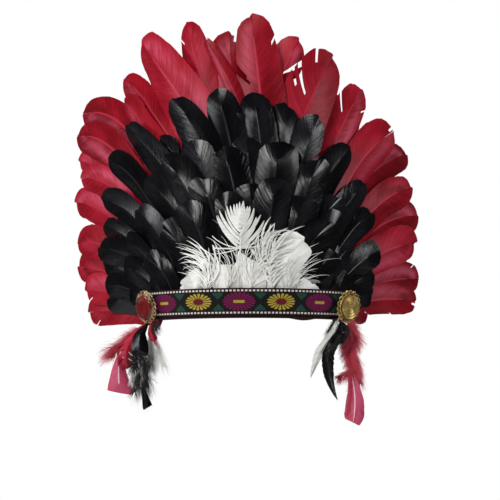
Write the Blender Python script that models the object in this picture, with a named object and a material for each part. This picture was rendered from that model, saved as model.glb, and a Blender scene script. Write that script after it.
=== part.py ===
"""Feathered headdress: a brow band with a fan of red, black and white feathers and two side drops.

Metres, +Z up, the front faces -Y. The origin is the middle of the head opening,
level with the lower edge of the headband.
"""

import math

import bmesh
import bpy
from mathutils import Matrix, Vector

# Head opening, measured at the inner face of the headband
HEAD_BREADTH = 0.155
HEAD_LENGTH = 0.196
BROW_RADIUS = 0.088
BROW_ANGLE = math.radians(50.0)

# Lean of the band and the fan
BAND_FLARE = math.radians(12.0)
FAN_CURL_RADIUS = 0.600
FAN_CENTRE_HEIGHT = 0.010

# Cloth parts
GAP = 0.0003
HEADBAND_WALL = 0.0015
HEADBAND_HEIGHT = 0.0225
HEADBAND_SIDE = 0.025
BINDING_WALL = 0.0010
BINDING_HEIGHT = 0.0200
RIBBON_WALL = 0.0010
RIBBON_HEIGHT = 0.0202
RIBBON_BASE = 0.0014
RIBBON_END = 0.0080
RIBBON_GAP = 0.0005
BAND_STEP = math.radians(6.0)
STRAP_WALL = 0.0012
STRAP_HEIGHT = 0.0110
STRAP_BASE = 0.0115
STRAP_OVERLAP = 0.014

# Quill strips that the feather blades stand on
QUILL_SPAN = 0.148
STRIP_END_RISE = 0.0024
STRIP_CROWN = 0.0150
BLADE_THICKNESS = 0.0008
EDGE_THICKNESS = 0.0005
LAYER_SPLAY = 0.014
LAYERS_PER_ROW = 2
ROOT_END_ANGLE = math.radians(82.0)
ROOT_FILL = 0.6
ROOT_WIDEST = 0.0065
BLADE_CLEARANCE = 0.0005

# Feathers arch over towards the sides: the arch as a share of a feather's length, strongest where
# its tip angle times ARCH_FACTOR is a right angle
ARCH = 0.16
ARCH_FACTOR = 2.0

# Feather sizes
RED_REACH = 0.240
RED_WIDTH = 0.040
BLACK_BACK_REACH = 0.175
BLACK_MIDDLE_REACH = 0.125
BLACK_FRONT_REACH = 0.095
BLACK_WIDTH = 0.027
WHITE_REACH = 0.078
WHITE_WIDTH = 0.024

# Medallions
MEDALLION_WIDTH = 0.0270
MEDALLION_HEIGHT = 0.0255
MEDALLION_ANGLE = math.radians(47.0)
MEDALLION_CENTRE = 0.0098
SETTING_PLATE = 0.0016
SETTING_STANDOFF = 0.0022
STUD_RADIUS = 0.0045
STONE_SHARE = 0.66
STONE_RISE = 0.0030
PIERCING_SHARE = 0.90
PIERCING_SIDES = 5
SHARP_ANGLE = math.radians(35.0)

# Side drops
DROP_LENGTH = 0.080
PLUME_THICKNESS = 0.30

# Each feather of a row, from the wearer's right to left: tip_angle in degrees from upright, reach and
# width as shares of the row's reach and width, bow as a share of the feather's length, in the order
# tip_angle, reach, bow, width
RED_FEATHERS = (
    (-90, 0.74, 0.02, 0.75), (-84, 0.76, 0.01, 0.80), (-78, 0.86, -0.01, 0.85), (-72, 0.87, 0.01, 0.85),
    (-64, 0.98, -0.01, 0.90), (-58, 0.97, 0.02, 0.80), (-56, 1.06, -0.02, 0.80), (-52, 1.13, 0.01, 0.95),
    (-49, 1.21, 0.03, 0.95), (-34, 0.90, -0.02, 0.70), (-34, 1.02, 0.01, 0.85), (-24, 1.03, 0.02, 1.05),
    (-12, 0.98, -0.02, 0.75), (-8, 0.89, 0.06, 0.30), (-3, 0.90, -0.03, 0.95), (1, 0.95, 0.02, 0.85),
    (11, 0.90, -0.05, 0.80), (18, 0.88, 0.00, 1.10), (30, 0.88, 0.03, 0.80), (43, 0.87, 0.02, 0.85),
    (51, 0.91, -0.01, 0.85), (57, 0.82, 0.02, 0.85), (65, 0.83, -0.02, 0.90), (71, 0.76, 0.01, 0.90),
    (81, 0.76, -0.01, 0.80), (87, 0.71, -0.02, 0.75), (92, 0.46, -0.04, 0.50),
)
BLACK_BACK_FEATHERS = (
    (-86, 0.80, 0.02, 0.90), (-81, 0.82, 0.01, 0.90), (-75, 0.86, 0.00, 0.95), (-70, 0.90, 0.02, 1.00),
    (-63, 0.92, -0.02, 0.95), (-56, 0.97, 0.01, 1.00), (-46, 1.06, -0.01, 1.05), (-33, 1.03, 0.01, 0.95),
    (-24, 0.83, 0.01, 0.70), (-16, 0.96, 0.02, 1.00), (-10, 0.82, -0.02, 0.75), (-6, 0.95, 0.00, 0.95),
    (-2, 0.83, 0.01, 0.75), (2, 0.92, 0.02, 0.95), (10, 0.89, 0.03, 1.00), (18, 0.87, 0.02, 0.95),
    (31, 0.84, 0.01, 0.95), (43, 0.78, 0.02, 0.95), (54, 0.75, 0.01, 1.00), (68, 0.72, 0.02, 1.00),
    (76, 0.67, 0.00, 0.95), (84, 0.64, -0.02, 0.90), (88, 0.57, -0.02, 0.80),
)
BLACK_MIDDLE_FEATHERS = (
    (-82, 0.85, 0.00, 0.95), (-72, 0.91, 0.02, 0.95), (-62, 0.97, 0.00, 1.00), (-46, 0.90, -0.02, 1.00),
    (-35, 0.98, 0.02, 1.00), (-24, 1.00, 0.00, 1.00), (-14, 1.03, -0.02, 0.95), (-6, 0.94, 0.02, 0.90),
    (1, 1.01, 0.00, 0.90), (10, 0.99, 0.02, 1.10), (18, 0.90, 0.00, 0.90), (23, 0.96, 0.02, 0.90),
    (37, 0.84, 0.00, 1.00), (43, 0.76, 0.02, 0.95), (59, 0.68, 0.00, 0.95), (76, 0.67, -0.02, 0.90),
)
BLACK_FRONT_FEATHERS = (
    (-77, 0.81, 0.00, 0.90), (-62, 0.86, 0.02, 0.95), (-41, 0.85, 0.00, 1.00), (-26, 0.89, 0.02, 0.95),
    (-15, 1.03, 0.00, 0.95), (-8, 0.87, -0.02, 0.85), (2, 0.94, 0.02, 0.90), (12, 1.00, 0.00, 0.90),
    (25, 0.94, 0.02, 0.95), (40, 0.86, 0.00, 1.00), (54, 0.76, 0.02, 0.95), (73, 0.70, 0.00, 0.90),
)
WHITE_FEATHERS = (
    (-74, 0.59, 0.00, 0.90), (-59, 0.55, 0.02, 1.00), (-47, 0.57, -0.02, 0.80), (-42, 0.69, 0.03, 0.80),
    (-37, 0.74, -0.02, 0.80), (-18, 0.53, 0.00, 1.10), (-1, 0.96, 0.00, 1.10), (14, 0.56, 0.02, 1.20),
    (18, 0.81, 0.00, 0.70), (26, 0.83, -0.03, 0.70), (37, 0.77, 0.02, 1.30), (45, 0.63, 0.00, 0.90),
    (56, 0.66, -0.02, 0.90), (71, 0.61, 0.00, 0.95),
)

# Stations of one feather blade: run as a share of its length, width as a share of the feather's width,
# lines as the number of points across
BLADE_STATIONS = (
    (0.07, 0.16, 2),
    (0.19, 0.34, 2),
    (0.37, 0.67, 3),
    (0.61, 0.95, 3),
    (0.86, 0.90, 3),
    (1.00, 0.26, 3),
)

# Rims of the two medallions: sides round the oval, lobes of the frill, frill as a share of the width,
# piercing_width and piercing_length as shares of half the medallion's width
LEFT_RIM = (20, 10, 0.07, 0.050, 0.085)
RIGHT_RIM = (24, 12, 0.06, 0.055, 0.075)

# Front of a setting from the frilled edge to the seat: grow as a share added to the stone's share,
# rise as a share of the plate
SETTING_PROFILE = ((0.18, 0.7), (0.12, 1.6), (0.05, 1.6), (0.03, 1.0))

# Centres of the medallions from edge to middle: share of the stone's width, rise as a share of its own
STONE_PROFILE = ((1.00, 0.45), (0.93, 0.62), (0.80, 0.55), (0.50, 0.34), (0.20, 0.26))
BOSS_PROFILE = (
    (1.00, 0.30), (0.90, 0.52), (0.78, 0.40), (0.66, 0.62),
    (0.50, 0.50), (0.36, 0.74), (0.22, 0.66), (0.10, 0.50),
)
DOME_SIDES = 18

# Stations of one lock of a drop: run and width as shares
LOCK_STATIONS = ((0.00, 0.30), (0.22, 0.72), (0.50, 1.00), (0.78, 0.80), (1.00, 0.12))
STEM_STATIONS = ((0.00, 0.32), (0.08, 0.45), (0.20, 0.75), (0.45, 1.00), (0.75, 0.80), (1.00, 0.12))
LOCK_SIDES = 5

# Drop plumes, in shares of the drop's length from the medallion's centre; across is positive away
# from the middle of the brow. A plume is a stem (head_across, head_down, tip_across, tip_down, bow,
# width, forward) and its locks (root_run along the stem, tip_across, tip_down, bow, width, forward).
LEFT_RED_PLUME = (
    (0.07, 0.08, 0.32, 0.48, 0.04, 0.06, 0.00),
    (0.20, 0.16, 0.52, -0.06, 0.15, 0.01),
    (0.45, 0.54, 0.44, 0.04, 0.13, 0.02),
    (0.75, 0.46, 0.62, 0.07, 0.13, -0.02),
    (0.75, 0.40, 0.75, 0.03, 0.17, 0.01),
    (0.75, 0.18, 0.80, -0.03, 0.15, 0.02),
    (0.75, 0.30, 0.82, 0.00, 0.16, -0.01),
)
LEFT_BLACK_PLUME = (
    (0.00, 0.08, -0.02, 1.03, 0.07, 0.10, 0.10),
    (0.20, 0.16, 0.44, 0.03, 0.12, 0.11),
    (0.20, 0.26, 0.60, 0.04, 0.14, 0.11),
    (0.45, -0.08, 0.72, -0.05, 0.15, 0.09),
    (0.45, 0.14, 0.84, 0.06, 0.14, 0.10),
)
LEFT_WHITE_PLUME = (
    (-0.07, 0.08, -0.08, 0.62, -0.03, 0.07, -0.10),
    (0.45, 0.05, 0.54, 0.05, 0.13, -0.11),
    (0.45, -0.20, 0.56, -0.05, 0.12, -0.09),
    (0.45, -0.18, 0.44, -0.03, 0.11, -0.10),
)
RIGHT_WHITE_PLUME = (
    (-0.07, 0.08, -0.27, 0.68, -0.03, 0.08, 0.02),
    (0.45, -0.16, 0.58, -0.02, 0.09, 0.03),
)
RIGHT_BLACK_PLUME = (
    (0.00, 0.08, -0.04, 0.93, -0.10, 0.12, 0.11),
    (0.20, -0.19, 0.36, -0.03, 0.11, 0.10),
)
RIGHT_RED_PLUME = (
    (0.07, 0.08, 0.10, 0.82, 0.03, 0.09, -0.09),
    (0.20, 0.24, 0.36, 0.03, 0.13, -0.08),
    (0.45, 0.25, 0.62, 0.05, 0.16, -0.08),
    (0.45, -0.06, 0.72, -0.06, 0.17, -0.10),
    (0.45, 0.28, 0.80, 0.05, 0.12, -0.10),
    (0.75, 0.14, 1.12, 0.05, 0.20, -0.08),
)

# A plume lies along its medallion's back down to DROP_LEAVE, has its own depth from DROP_PART
# and hangs flat to the front from DROP_TURN, in shares of the drop's length
DROP_LEAVE = 0.16
DROP_PART = DROP_LEAVE + 0.11
DROP_TURN = DROP_LEAVE + 0.29

# Rows from the back to the front: name, feathers, reach, width, span as a share of the quill span, material
FEATHER_ROWS = (
    ("red_feather_row", RED_FEATHERS, RED_REACH, RED_WIDTH, 1.0, "red"),
    ("black_feather_row_back", BLACK_BACK_FEATHERS, BLACK_BACK_REACH, BLACK_WIDTH, 1.0, "black"),
    ("black_feather_row_middle", BLACK_MIDDLE_FEATHERS, BLACK_MIDDLE_REACH, BLACK_WIDTH, 0.92, "black"),
    ("black_feather_row_front", BLACK_FRONT_FEATHERS, BLACK_FRONT_REACH, BLACK_WIDTH, 0.80, "black"),
    ("white_feather_row", WHITE_FEATHERS, WHITE_REACH, WHITE_WIDTH, 0.55, "white"),
)

# Drop plumes: name, side (-1 left, 1 right), rows, material
DROP_PLUMES = (
    ("left_drop_red_plume", -1, LEFT_RED_PLUME, "red"),
    ("left_drop_black_plume", -1, LEFT_BLACK_PLUME, "black"),
    ("left_drop_white_plume", -1, LEFT_WHITE_PLUME, "white"),
    ("right_drop_white_plume", 1, RIGHT_WHITE_PLUME, "white"),
    ("right_drop_black_plume", 1, RIGHT_BLACK_PLUME, "black"),
    ("right_drop_red_plume", 1, RIGHT_RED_PLUME, "red"),
)

BROW_ARC = BROW_RADIUS * BROW_ANGLE
HALF_BREADTH = HEAD_BREADTH / 2
BROW_CENTRE_Y = BROW_RADIUS - HEAD_LENGTH / 2
TEMPLE_RADIUS = (HALF_BREADTH - BROW_RADIUS * math.sin(BROW_ANGLE)) / (1 - math.sin(BROW_ANGLE))
TEMPLE_ARC = TEMPLE_RADIUS * (math.pi / 2 - BROW_ANGLE)
TEMPLE_CENTRE = Vector(
    (
        HALF_BREADTH - TEMPLE_RADIUS,
        BROW_CENTRE_Y - (BROW_RADIUS - TEMPLE_RADIUS) * math.cos(BROW_ANGLE),
    )
)
REAR_CENTRE_Y = HEAD_LENGTH / 2 - HALF_BREADTH
SIDE_RUN = REAR_CENTRE_Y - TEMPLE_CENTRE.y
HALF_RING = BROW_ARC + TEMPLE_ARC + SIDE_RUN + HALF_BREADTH * math.pi / 2
HEADBAND_REACH = BROW_ARC + TEMPLE_ARC + HEADBAND_SIDE

LAYER_PITCH = BLADE_THICKNESS + GAP
FIRST_LAYER = HEADBAND_WALL + GAP
STRIP_BASE = BINDING_WALL + GAP
STRIP_TOP_BASE = STRIP_BASE + STRIP_END_RISE
STRIP_TOP = STRIP_TOP_BASE + STRIP_CROWN
BINDING_OUT = FIRST_LAYER + len(FEATHER_ROWS) * LAYERS_PER_ROW * LAYER_PITCH
RIBBON_OUT = BINDING_OUT + BINDING_WALL + RIBBON_GAP
MEDALLION_ALONG = BROW_RADIUS * MEDALLION_ANGLE


def clear_scene():
    for old in list(bpy.data.objects):
        bpy.data.objects.remove(old, do_unlink=True)


def lean_out(rise):
    """How far the fan leans outwards at this distance from the band's lower edge."""
    return rise * math.tan(BAND_FLARE) - rise * rise / (2 * FAN_CURL_RADIUS)


def fan_point(along, height, out):
    """A point of the fan: along the brow arc and then straight on, up, and outwards."""
    side = math.copysign(1, along)
    over = max(0.0, abs(along) - BROW_ARC)
    angle = min(abs(along), BROW_ARC) / BROW_RADIUS
    radius = BROW_RADIUS + out + lean_out(math.hypot(over, height))
    return Vector(
        (
            side * (radius * math.sin(angle) + over * math.cos(angle)),
            BROW_CENTRE_Y - radius * math.cos(angle) + over * math.sin(angle),
            height,
        )
    )


def ring_point(along, height, out):
    """A point of the head ring: brow arc, temple arc, straight side and round back."""
    side = math.copysign(1, along)
    run = abs(along)
    if run <= BROW_ARC:
        angle = run / BROW_RADIUS
        centre = Vector((0, BROW_CENTRE_Y))
        radius = BROW_RADIUS
    elif run <= BROW_ARC + TEMPLE_ARC:
        angle = BROW_ANGLE + (run - BROW_ARC) / TEMPLE_RADIUS
        centre = TEMPLE_CENTRE
        radius = TEMPLE_RADIUS
    elif run <= BROW_ARC + TEMPLE_ARC + SIDE_RUN:
        angle = math.pi / 2
        centre = Vector((0, TEMPLE_CENTRE.y + run - BROW_ARC - TEMPLE_ARC))
        radius = HALF_BREADTH
    else:
        angle = math.pi / 2 + (run - BROW_ARC - TEMPLE_ARC - SIDE_RUN) / HALF_BREADTH
        centre = Vector((0, REAR_CENTRE_Y))
        radius = HALF_BREADTH
    past_brow = min(1.0, max(0.0, run - BROW_ARC) / TEMPLE_ARC)
    reach = radius + out + lean_out(height) * (1 + math.cos(math.pi * past_brow)) / 2
    return Vector(
        (
            side * (centre.x + reach * math.sin(angle)),
            centre.y - reach * math.cos(angle),
            height,
        )
    )


def layer_out(level, along, height):
    """Outward place of a feather layer: evenly stacked at the band, splayed away from it."""
    past = math.hypot(max(0.0, abs(along) - QUILL_SPAN / 2), max(0.0, height - STRIP_TOP))
    return FIRST_LAYER + BLADE_THICKNESS / 2 + level * (LAYER_PITCH + LAYER_SPLAY * past)


def finish(name, bm, material, matrix=None):
    """Turn a bmesh into a shaded object with its own material."""
    bmesh.ops.recalc_face_normals(bm, faces=bm.faces[:])
    mesh = bpy.data.meshes.new(name)
    bm.to_mesh(mesh)
    bm.free()
    mesh.shade_smooth()
    mesh.set_sharp_from_angle(angle=SHARP_ANGLE)
    obj = bpy.data.objects.new(name, mesh)
    bpy.context.scene.collection.objects.link(obj)
    if material is not None:
        obj.data.materials.append(material)
    if matrix is not None:
        obj.matrix_world = matrix
    return obj


def make_material(name, colour, roughness, metallic=0.0):
    material = bpy.data.materials.new(name)
    material.use_nodes = True
    shader = material.node_tree.nodes["Principled BSDF"]
    shader.inputs["Base Color"].default_value = (*colour, 1.0)
    shader.inputs["Roughness"].default_value = roughness
    shader.inputs["Metallic"].default_value = metallic
    material.diffuse_color = (*colour, 1.0)
    return material


def sweep(bm, sections):
    """Skin a row of equal rings and close both ends."""
    rings = [[bm.verts.new(point) for point in section] for section in sections]
    for near, far in zip(rings, rings[1:]):
        for i in range(len(near)):
            j = (i + 1) % len(near)
            bm.faces.new((near[i], near[j], far[j], far[i]))
    bm.faces.new(rings[0])
    bm.faces.new(rings[-1])


def steps(low, high, longest):
    """Evenly spaced values from low to high, no further apart than longest."""
    count = math.ceil((high - low) / longest)
    return [low + (high - low) * i / count for i in range(count + 1)]


def band(name, place, alongs, corners, material):
    """A cloth band: corners (height, out) swept through the places along the ring or the fan."""
    bm = bmesh.new()
    sweep(bm, [[place(along, height, out) for height, out in corners] for along in alongs])
    return finish(name, bm, material)


def wall_corners(base, height, inner, thickness):
    """A wall's four corners as (height, out)."""
    return (
        (base, inner),
        (base, inner + thickness),
        (base + height, inner + thickness),
        (base + height, inner),
    )


def make_bands(materials):
    """The headband, the folded binding, the woven ribbon and the strap behind the head."""
    step = BROW_RADIUS * BAND_STEP
    band(
        "headband",
        ring_point,
        steps(-HEADBAND_REACH, HEADBAND_REACH, step),
        wall_corners(0, HEADBAND_HEIGHT, 0, HEADBAND_WALL),
        materials["cotton"],
    )
    binding = (
        (0, FIRST_LAYER),
        (0, BINDING_OUT + BINDING_WALL),
        (BINDING_HEIGHT, BINDING_OUT + BINDING_WALL),
        (BINDING_HEIGHT, BINDING_OUT),
        (BINDING_WALL, BINDING_OUT),
        (BINDING_WALL, FIRST_LAYER),
    )
    ribbon_half = MEDALLION_ALONG + RIBBON_END
    band(
        "quill_binding",
        fan_point,
        steps(-ribbon_half, ribbon_half, step),
        binding,
        materials["cotton"],
    )
    band(
        "braid_ribbon",
        fan_point,
        steps(-ribbon_half, ribbon_half, step),
        wall_corners(RIBBON_BASE, RIBBON_HEIGHT, RIBBON_OUT, RIBBON_WALL),
        materials["braid"],
    )
    right = steps(HEADBAND_REACH - STRAP_OVERLAP, HALF_RING, step)
    left = [-along for along in reversed(right[:-1])]
    band(
        "back_strap",
        ring_point,
        right + left,
        wall_corners(STRAP_BASE, STRAP_HEIGHT, HEADBAND_WALL + GAP, STRAP_WALL),
        materials["elastic"],
    )


def root_place(angle, span):
    """A point (along, height) of the arched top of a quill strip."""
    return Vector(
        (span / 2 * math.sin(angle), STRIP_TOP_BASE + STRIP_CROWN * math.cos(angle))
    )


def feather_axes(feathers, reach, span):
    """For each feather its root angle and its middle line in the flat fan."""
    axes = []
    pitch = 2 * ROOT_END_ANGLE / len(feathers)
    for i, (tip_angle, share, bow, _) in enumerate(feathers):
        root_angle = -ROOT_END_ANGLE + (i + 0.5) * pitch
        root = root_place(root_angle, span)
        tip_turn = math.radians(tip_angle)
        tip = Vector((0, FAN_CENTRE_HEIGHT)) + share * reach * Vector(
            (math.sin(tip_turn), math.cos(tip_turn))
        )
        chord = tip - root
        side = Vector((chord.y, -chord.x))
        arched = bow - ARCH * math.sin(ARCH_FACTOR * tip_turn)
        line = []
        for run, _, _ in ((0, 0, 0),) + BLADE_STATIONS:
            line.append(root + chord * run + side * (4 * arched * run * (1 - run)))
        axes.append((root_angle, line))
    return axes


def distance_to_line(point, line):
    """Shortest distance from a flat point to a line of points."""
    best = math.inf
    for a, b in zip(line, line[1:]):
        edge = b - a
        share = max(0.0, min(1.0, (point - a).dot(edge) / edge.length_squared))
        best = min(best, (point - a - edge * share).length)
    return best


def half_widths(axes, i, width):
    """Half widths at each station, kept clear of the next feathers of the same layer."""
    line = axes[i][1]
    halves = []
    for station, point in zip(BLADE_STATIONS, line[1:]):
        half = width / 2 * station[1]
        for other in (i - 2, i + 2):
            if 0 <= other < len(axes):
                between = [(p + q) / 2 for p, q in zip(line, axes[other][1])]
                half = min(half, distance_to_line(point, between) - BLADE_CLEARANCE)
        halves.append(half)
    return halves


def web(bm, near, far):
    """Faces between two lines of two or three points."""
    if len(near) == len(far):
        for i in range(len(near) - 1):
            bm.faces.new((near[i], near[i + 1], far[i + 1], far[i]))
        return
    bm.faces.new((near[0], far[1], far[0]))
    bm.faces.new((near[0], near[1], far[1]))
    bm.faces.new((near[1], far[2], far[1]))


def blade(bm, root_back, root_front, line, halves, level):
    """One feather blade from its root edges on the strip to its tip."""
    back, front = root_back, root_front
    for i, (_, _, count) in enumerate(BLADE_STATIONS):
        before = line[i]
        after = line[min(i + 2, len(line) - 1)]
        forward = (after - before).normalized()
        across = Vector((forward.y, -forward.x))
        next_back, next_front = [], []
        for j in range(count):
            share = 2 * j / (count - 1) - 1
            spot = line[i + 1] + across * (share * halves[i])
            middle = layer_out(level, spot.x, spot.y)
            half = (BLADE_THICKNESS if count == 3 and j == 1 else EDGE_THICKNESS) / 2
            next_back.append(bm.verts.new(fan_point(spot.x, spot.y, middle - half)))
            next_front.append(bm.verts.new(fan_point(spot.x, spot.y, middle + half)))
        web(bm, back, next_back)
        web(bm, front, next_front)
        bm.faces.new((back[0], front[0], next_front[0], next_back[0]))
        bm.faces.new((back[-1], front[-1], next_front[-1], next_back[-1]))
        back, front = next_back, next_front
    for i in range(len(back) - 1):
        bm.faces.new((back[i], back[i + 1], front[i + 1], front[i]))


def feather_row(name, feathers, reach, width, level, span, material):
    """A quill strip with feathers standing alternately on its back and its front half."""
    bm = bmesh.new()
    axes = feather_axes(feathers, reach, span)
    pitch = 2 * ROOT_END_ANGLE / len(feathers)
    angles = []
    for root_angle, _ in axes:
        widest = ROOT_WIDEST / (span * math.cos(root_angle))
        half = min(pitch * ROOT_FILL / 2, widest)
        angles += [root_angle - half, root_angle + half]
    low = layer_out(level, 0, 0) - BLADE_THICKNESS / 2
    layers = [low, low + BLADE_THICKNESS, low + LAYER_PITCH, low + LAYER_PITCH + BLADE_THICKNESS]
    rings = []
    for angle in angles:
        top = root_place(angle, span)
        spots = [(STRIP_BASE, layers[0])] + [(top.y, out) for out in layers] + [(STRIP_BASE, layers[3])]
        rings.append([bm.verts.new(fan_point(top.x, height, out)) for height, out in spots])
    for j, (near, far) in enumerate(zip(rings, rings[1:])):
        feather = j // 2 if j % 2 == 0 else None
        skipped = None if feather is None else 1 + 2 * (feather % 2)
        for i in range(len(near)):
            k = (i + 1) % len(near)
            if i != skipped:
                bm.faces.new((near[i], near[k], far[k], far[i]))
        if feather is not None:
            roots = (near[skipped], far[skipped]), (near[skipped + 1], far[skipped + 1])
            halves = half_widths(axes, feather, width * feathers[feather][3])
            blade(bm, *roots, axes[feather][1], halves, level + feather % 2)
    bm.faces.new(rings[0])
    bm.faces.new(rings[-1])
    return finish(name, bm, material)


def make_feather_rows(materials):
    """Five rows, from the red one at the back to the white one in front."""
    for i, (name, feathers, reach, width, share, colour) in enumerate(FEATHER_ROWS):
        level = i * LAYERS_PER_ROW
        feather_row(name, feathers, reach, width, level, QUILL_SPAN * share, materials[colour])


def medallion_matrix(side):
    """Frame of a medallion: X along the band, Y up the ribbon, Z outwards, at its plate's back."""
    along = side * MEDALLION_ALONG
    out = RIBBON_OUT + RIBBON_WALL + GAP
    centre = fan_point(along, MEDALLION_CENTRE, out)
    up = (fan_point(along, RIBBON_HEIGHT, out) - fan_point(along, 0, out)).normalized()
    across = Vector((math.cos(MEDALLION_ANGLE), side * math.sin(MEDALLION_ANGLE), 0))
    outward = across.cross(up).normalized()
    turn = Matrix((across, outward.cross(across), outward)).transposed()
    place = centre + outward * SETTING_STANDOFF
    return Matrix.Translation(place) @ turn.to_4x4()


def oval_ring(bm, share, height, count, scallop=0.0, lobes=0):
    """A ring of points round the medallion's oval."""
    ring = []
    for i in range(count):
        turn = 2 * math.pi * i / count
        grow = share * (1 + scallop * math.cos(lobes * turn))
        x = MEDALLION_WIDTH / 2 * grow * math.cos(turn)
        y = MEDALLION_HEIGHT / 2 * grow * math.sin(turn)
        ring.append(bm.verts.new((x, y, height)))
    return ring


def skin_rings(bm, rings):
    """Faces between neighbouring rings."""
    for near, far in zip(rings, rings[1:]):
        for i in range(len(near)):
            j = (i + 1) % len(near)
            bm.faces.new((near[i], near[j], far[j], far[i]))


def piercing(name, turn, rim, side):
    """A prism that cuts one slot through a setting's rim, at this turn round the oval."""
    _, _, _, width, length = rim
    bm = bmesh.new()
    sections = []
    for height in (-SETTING_STANDOFF / 2, 2 * SETTING_PLATE):
        section = []
        for corner in range(PIERCING_SIDES):
            angle = 2 * math.pi * corner / PIERCING_SIDES
            outwards = PIERCING_SHARE + width * math.cos(angle)
            beside = length * math.sin(angle)
            x = MEDALLION_WIDTH / 2 * (outwards * math.cos(turn) - beside * math.sin(turn))
            y = MEDALLION_HEIGHT / 2 * (outwards * math.sin(turn) + beside * math.cos(turn))
            section.append((x, y, height))
        sections.append(section)
    sweep(bm, sections)
    return finish(name, bm, None, medallion_matrix(side))


def hide_in(obj, collection):
    """Keep a Boolean's helper out of the model."""
    bpy.context.scene.collection.objects.unlink(obj)
    collection.objects.link(obj)
    obj.hide_render = True
    obj.display_type = "WIRE"


def add_boolean(obj, operation, helpers):
    """A Boolean of one object with a collection of helpers."""
    boolean = obj.modifiers.new(operation.lower(), "BOOLEAN")
    boolean.operation = operation
    boolean.solver = "EXACT"
    boolean.operand_type = "COLLECTION"
    boolean.collection = helpers


def helper_collection(name):
    helpers = bpy.data.collections.new(name)
    bpy.context.scene.collection.children.link(helpers)
    return helpers


def make_setting(name, side, rim, material):
    """A frilled, pierced metal plate with a raised inner rim and a stud that holds it to the ribbon."""
    sides, lobes, scallop, _, _ = rim
    bm = bmesh.new()
    stud = STUD_RADIUS / (MEDALLION_WIDTH / 2)
    edge = 1 / (1 + scallop)
    rings = [
        oval_ring(bm, stud, -SETTING_STANDOFF, sides),
        oval_ring(bm, stud, 0, sides),
        oval_ring(bm, edge, 0, sides, scallop, lobes),
        oval_ring(bm, edge, SETTING_PLATE / 2, sides, scallop, lobes),
    ]
    for grow, rise in SETTING_PROFILE:
        rings.append(oval_ring(bm, STONE_SHARE + grow, SETTING_PLATE * rise, sides))
    skin_rings(bm, rings)
    bm.faces.new(rings[0])
    bm.faces.new(rings[-1])
    setting = finish(name, bm, material, medallion_matrix(side))
    cutters = helper_collection(name + "_piercings")
    for i in range(lobes):
        cutter = piercing(f"{name}_piercing_{i + 1}", 2 * math.pi * i / lobes, rim, side)
        hide_in(cutter, cutters)
    add_boolean(setting, "DIFFERENCE", cutters)
    return setting


def make_dome(name, side, profile, material):
    """The oval centre of a medallion from a profile of (share of its width, share of its rise)."""
    bm = bmesh.new()
    base = SETTING_PLATE + GAP
    rings = [oval_ring(bm, STONE_SHARE, base, DOME_SIDES)]
    for share, rise in profile:
        rings.append(oval_ring(bm, STONE_SHARE * share, base + STONE_RISE * rise, DOME_SIDES))
    skin_rings(bm, rings)
    bm.faces.new(rings[0])
    bm.faces.new(rings[-1])
    return finish(name, bm, material, medallion_matrix(side))


def make_medallions(materials):
    """A frilled gold setting with a dished red stone, and a scalloped brass one with a ridged boss."""
    make_setting("left_medallion_setting", -1, LEFT_RIM, materials["gold"])
    make_setting("right_medallion_setting", 1, RIGHT_RIM, materials["brass"])
    make_dome("left_medallion_stone", -1, STONE_PROFILE, materials["stone"])
    make_dome("right_medallion_boss", 1, BOSS_PROFILE, materials["brass"])


def drop_frame(side, down):
    """Directions across and outwards for a plume at this share of the drop."""
    share = max(0.0, min(1.0, (down - DROP_LEAVE) / (DROP_TURN - DROP_LEAVE)))
    turn = MEDALLION_ANGLE * (1 - share)
    across = Vector((side * math.cos(turn), math.sin(turn), 0))
    outward = Vector((side * math.sin(turn), -math.cos(turn), 0))
    return across, outward


def drop_point(side, across, down, forward):
    """A point of a drop, from the middle of the gap behind the medallion."""
    frame = medallion_matrix(side)
    head = frame @ Vector((0, 0, -SETTING_STANDOFF / 2))
    up = (frame.to_3x3() @ Vector((0, 1, 0))).normalized()
    sideways, outward = drop_frame(side, down)
    hang = up * min(down, DROP_LEAVE) + Vector((0, 0, max(0.0, down - DROP_LEAVE)))
    away = forward * max(0.0, min(1.0, (down - DROP_LEAVE) / (DROP_PART - DROP_LEAVE)))
    return head + DROP_LENGTH * (sideways * across - hang + outward * away)


def lock_mesh(line, stations, width, side):
    """A tapering lock with flattened rings round a curved line of (across, down, forward)."""
    points = [drop_point(side, *spot) for spot in line]
    sections = []
    for i, (point, (_, share)) in enumerate(zip(points, stations)):
        before = points[max(i - 1, 0)]
        after = points[min(i + 1, len(points) - 1)]
        along = (after - before).normalized()
        outward = drop_frame(side, line[i][1])[1]
        sideways = along.cross(outward).normalized()
        depth = sideways.cross(along)
        half = DROP_LENGTH * width * share / 2
        section = []
        for corner in range(LOCK_SIDES):
            turn = 2 * math.pi * (corner + 0.5) / LOCK_SIDES
            spread = sideways * math.cos(turn) + depth * (PLUME_THICKNESS * math.sin(turn))
            section.append(point + spread * half)
        sections.append(section)
    bm = bmesh.new()
    sweep(bm, sections)
    return bm


def bowed_line(root, tip, bow, stations):
    """A bowed line from root to tip, each (across, down, forward), read at the stations."""
    line = []
    for run, _ in stations:
        spot = [a + (b - a) * run for a, b in zip(root, tip)]
        spot[0] += 4 * bow * run * (1 - run)
        line.append(tuple(spot))
    return line


def stem_spot(stem, run):
    """The place (across, down, forward) on a stem at this share of its run."""
    head_across, head_down, tip_across, tip_down, bow, _, forward = stem
    across = head_across + (tip_across - head_across) * run + 4 * bow * run * (1 - run)
    return across, head_down + (tip_down - head_down) * run, forward


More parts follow.
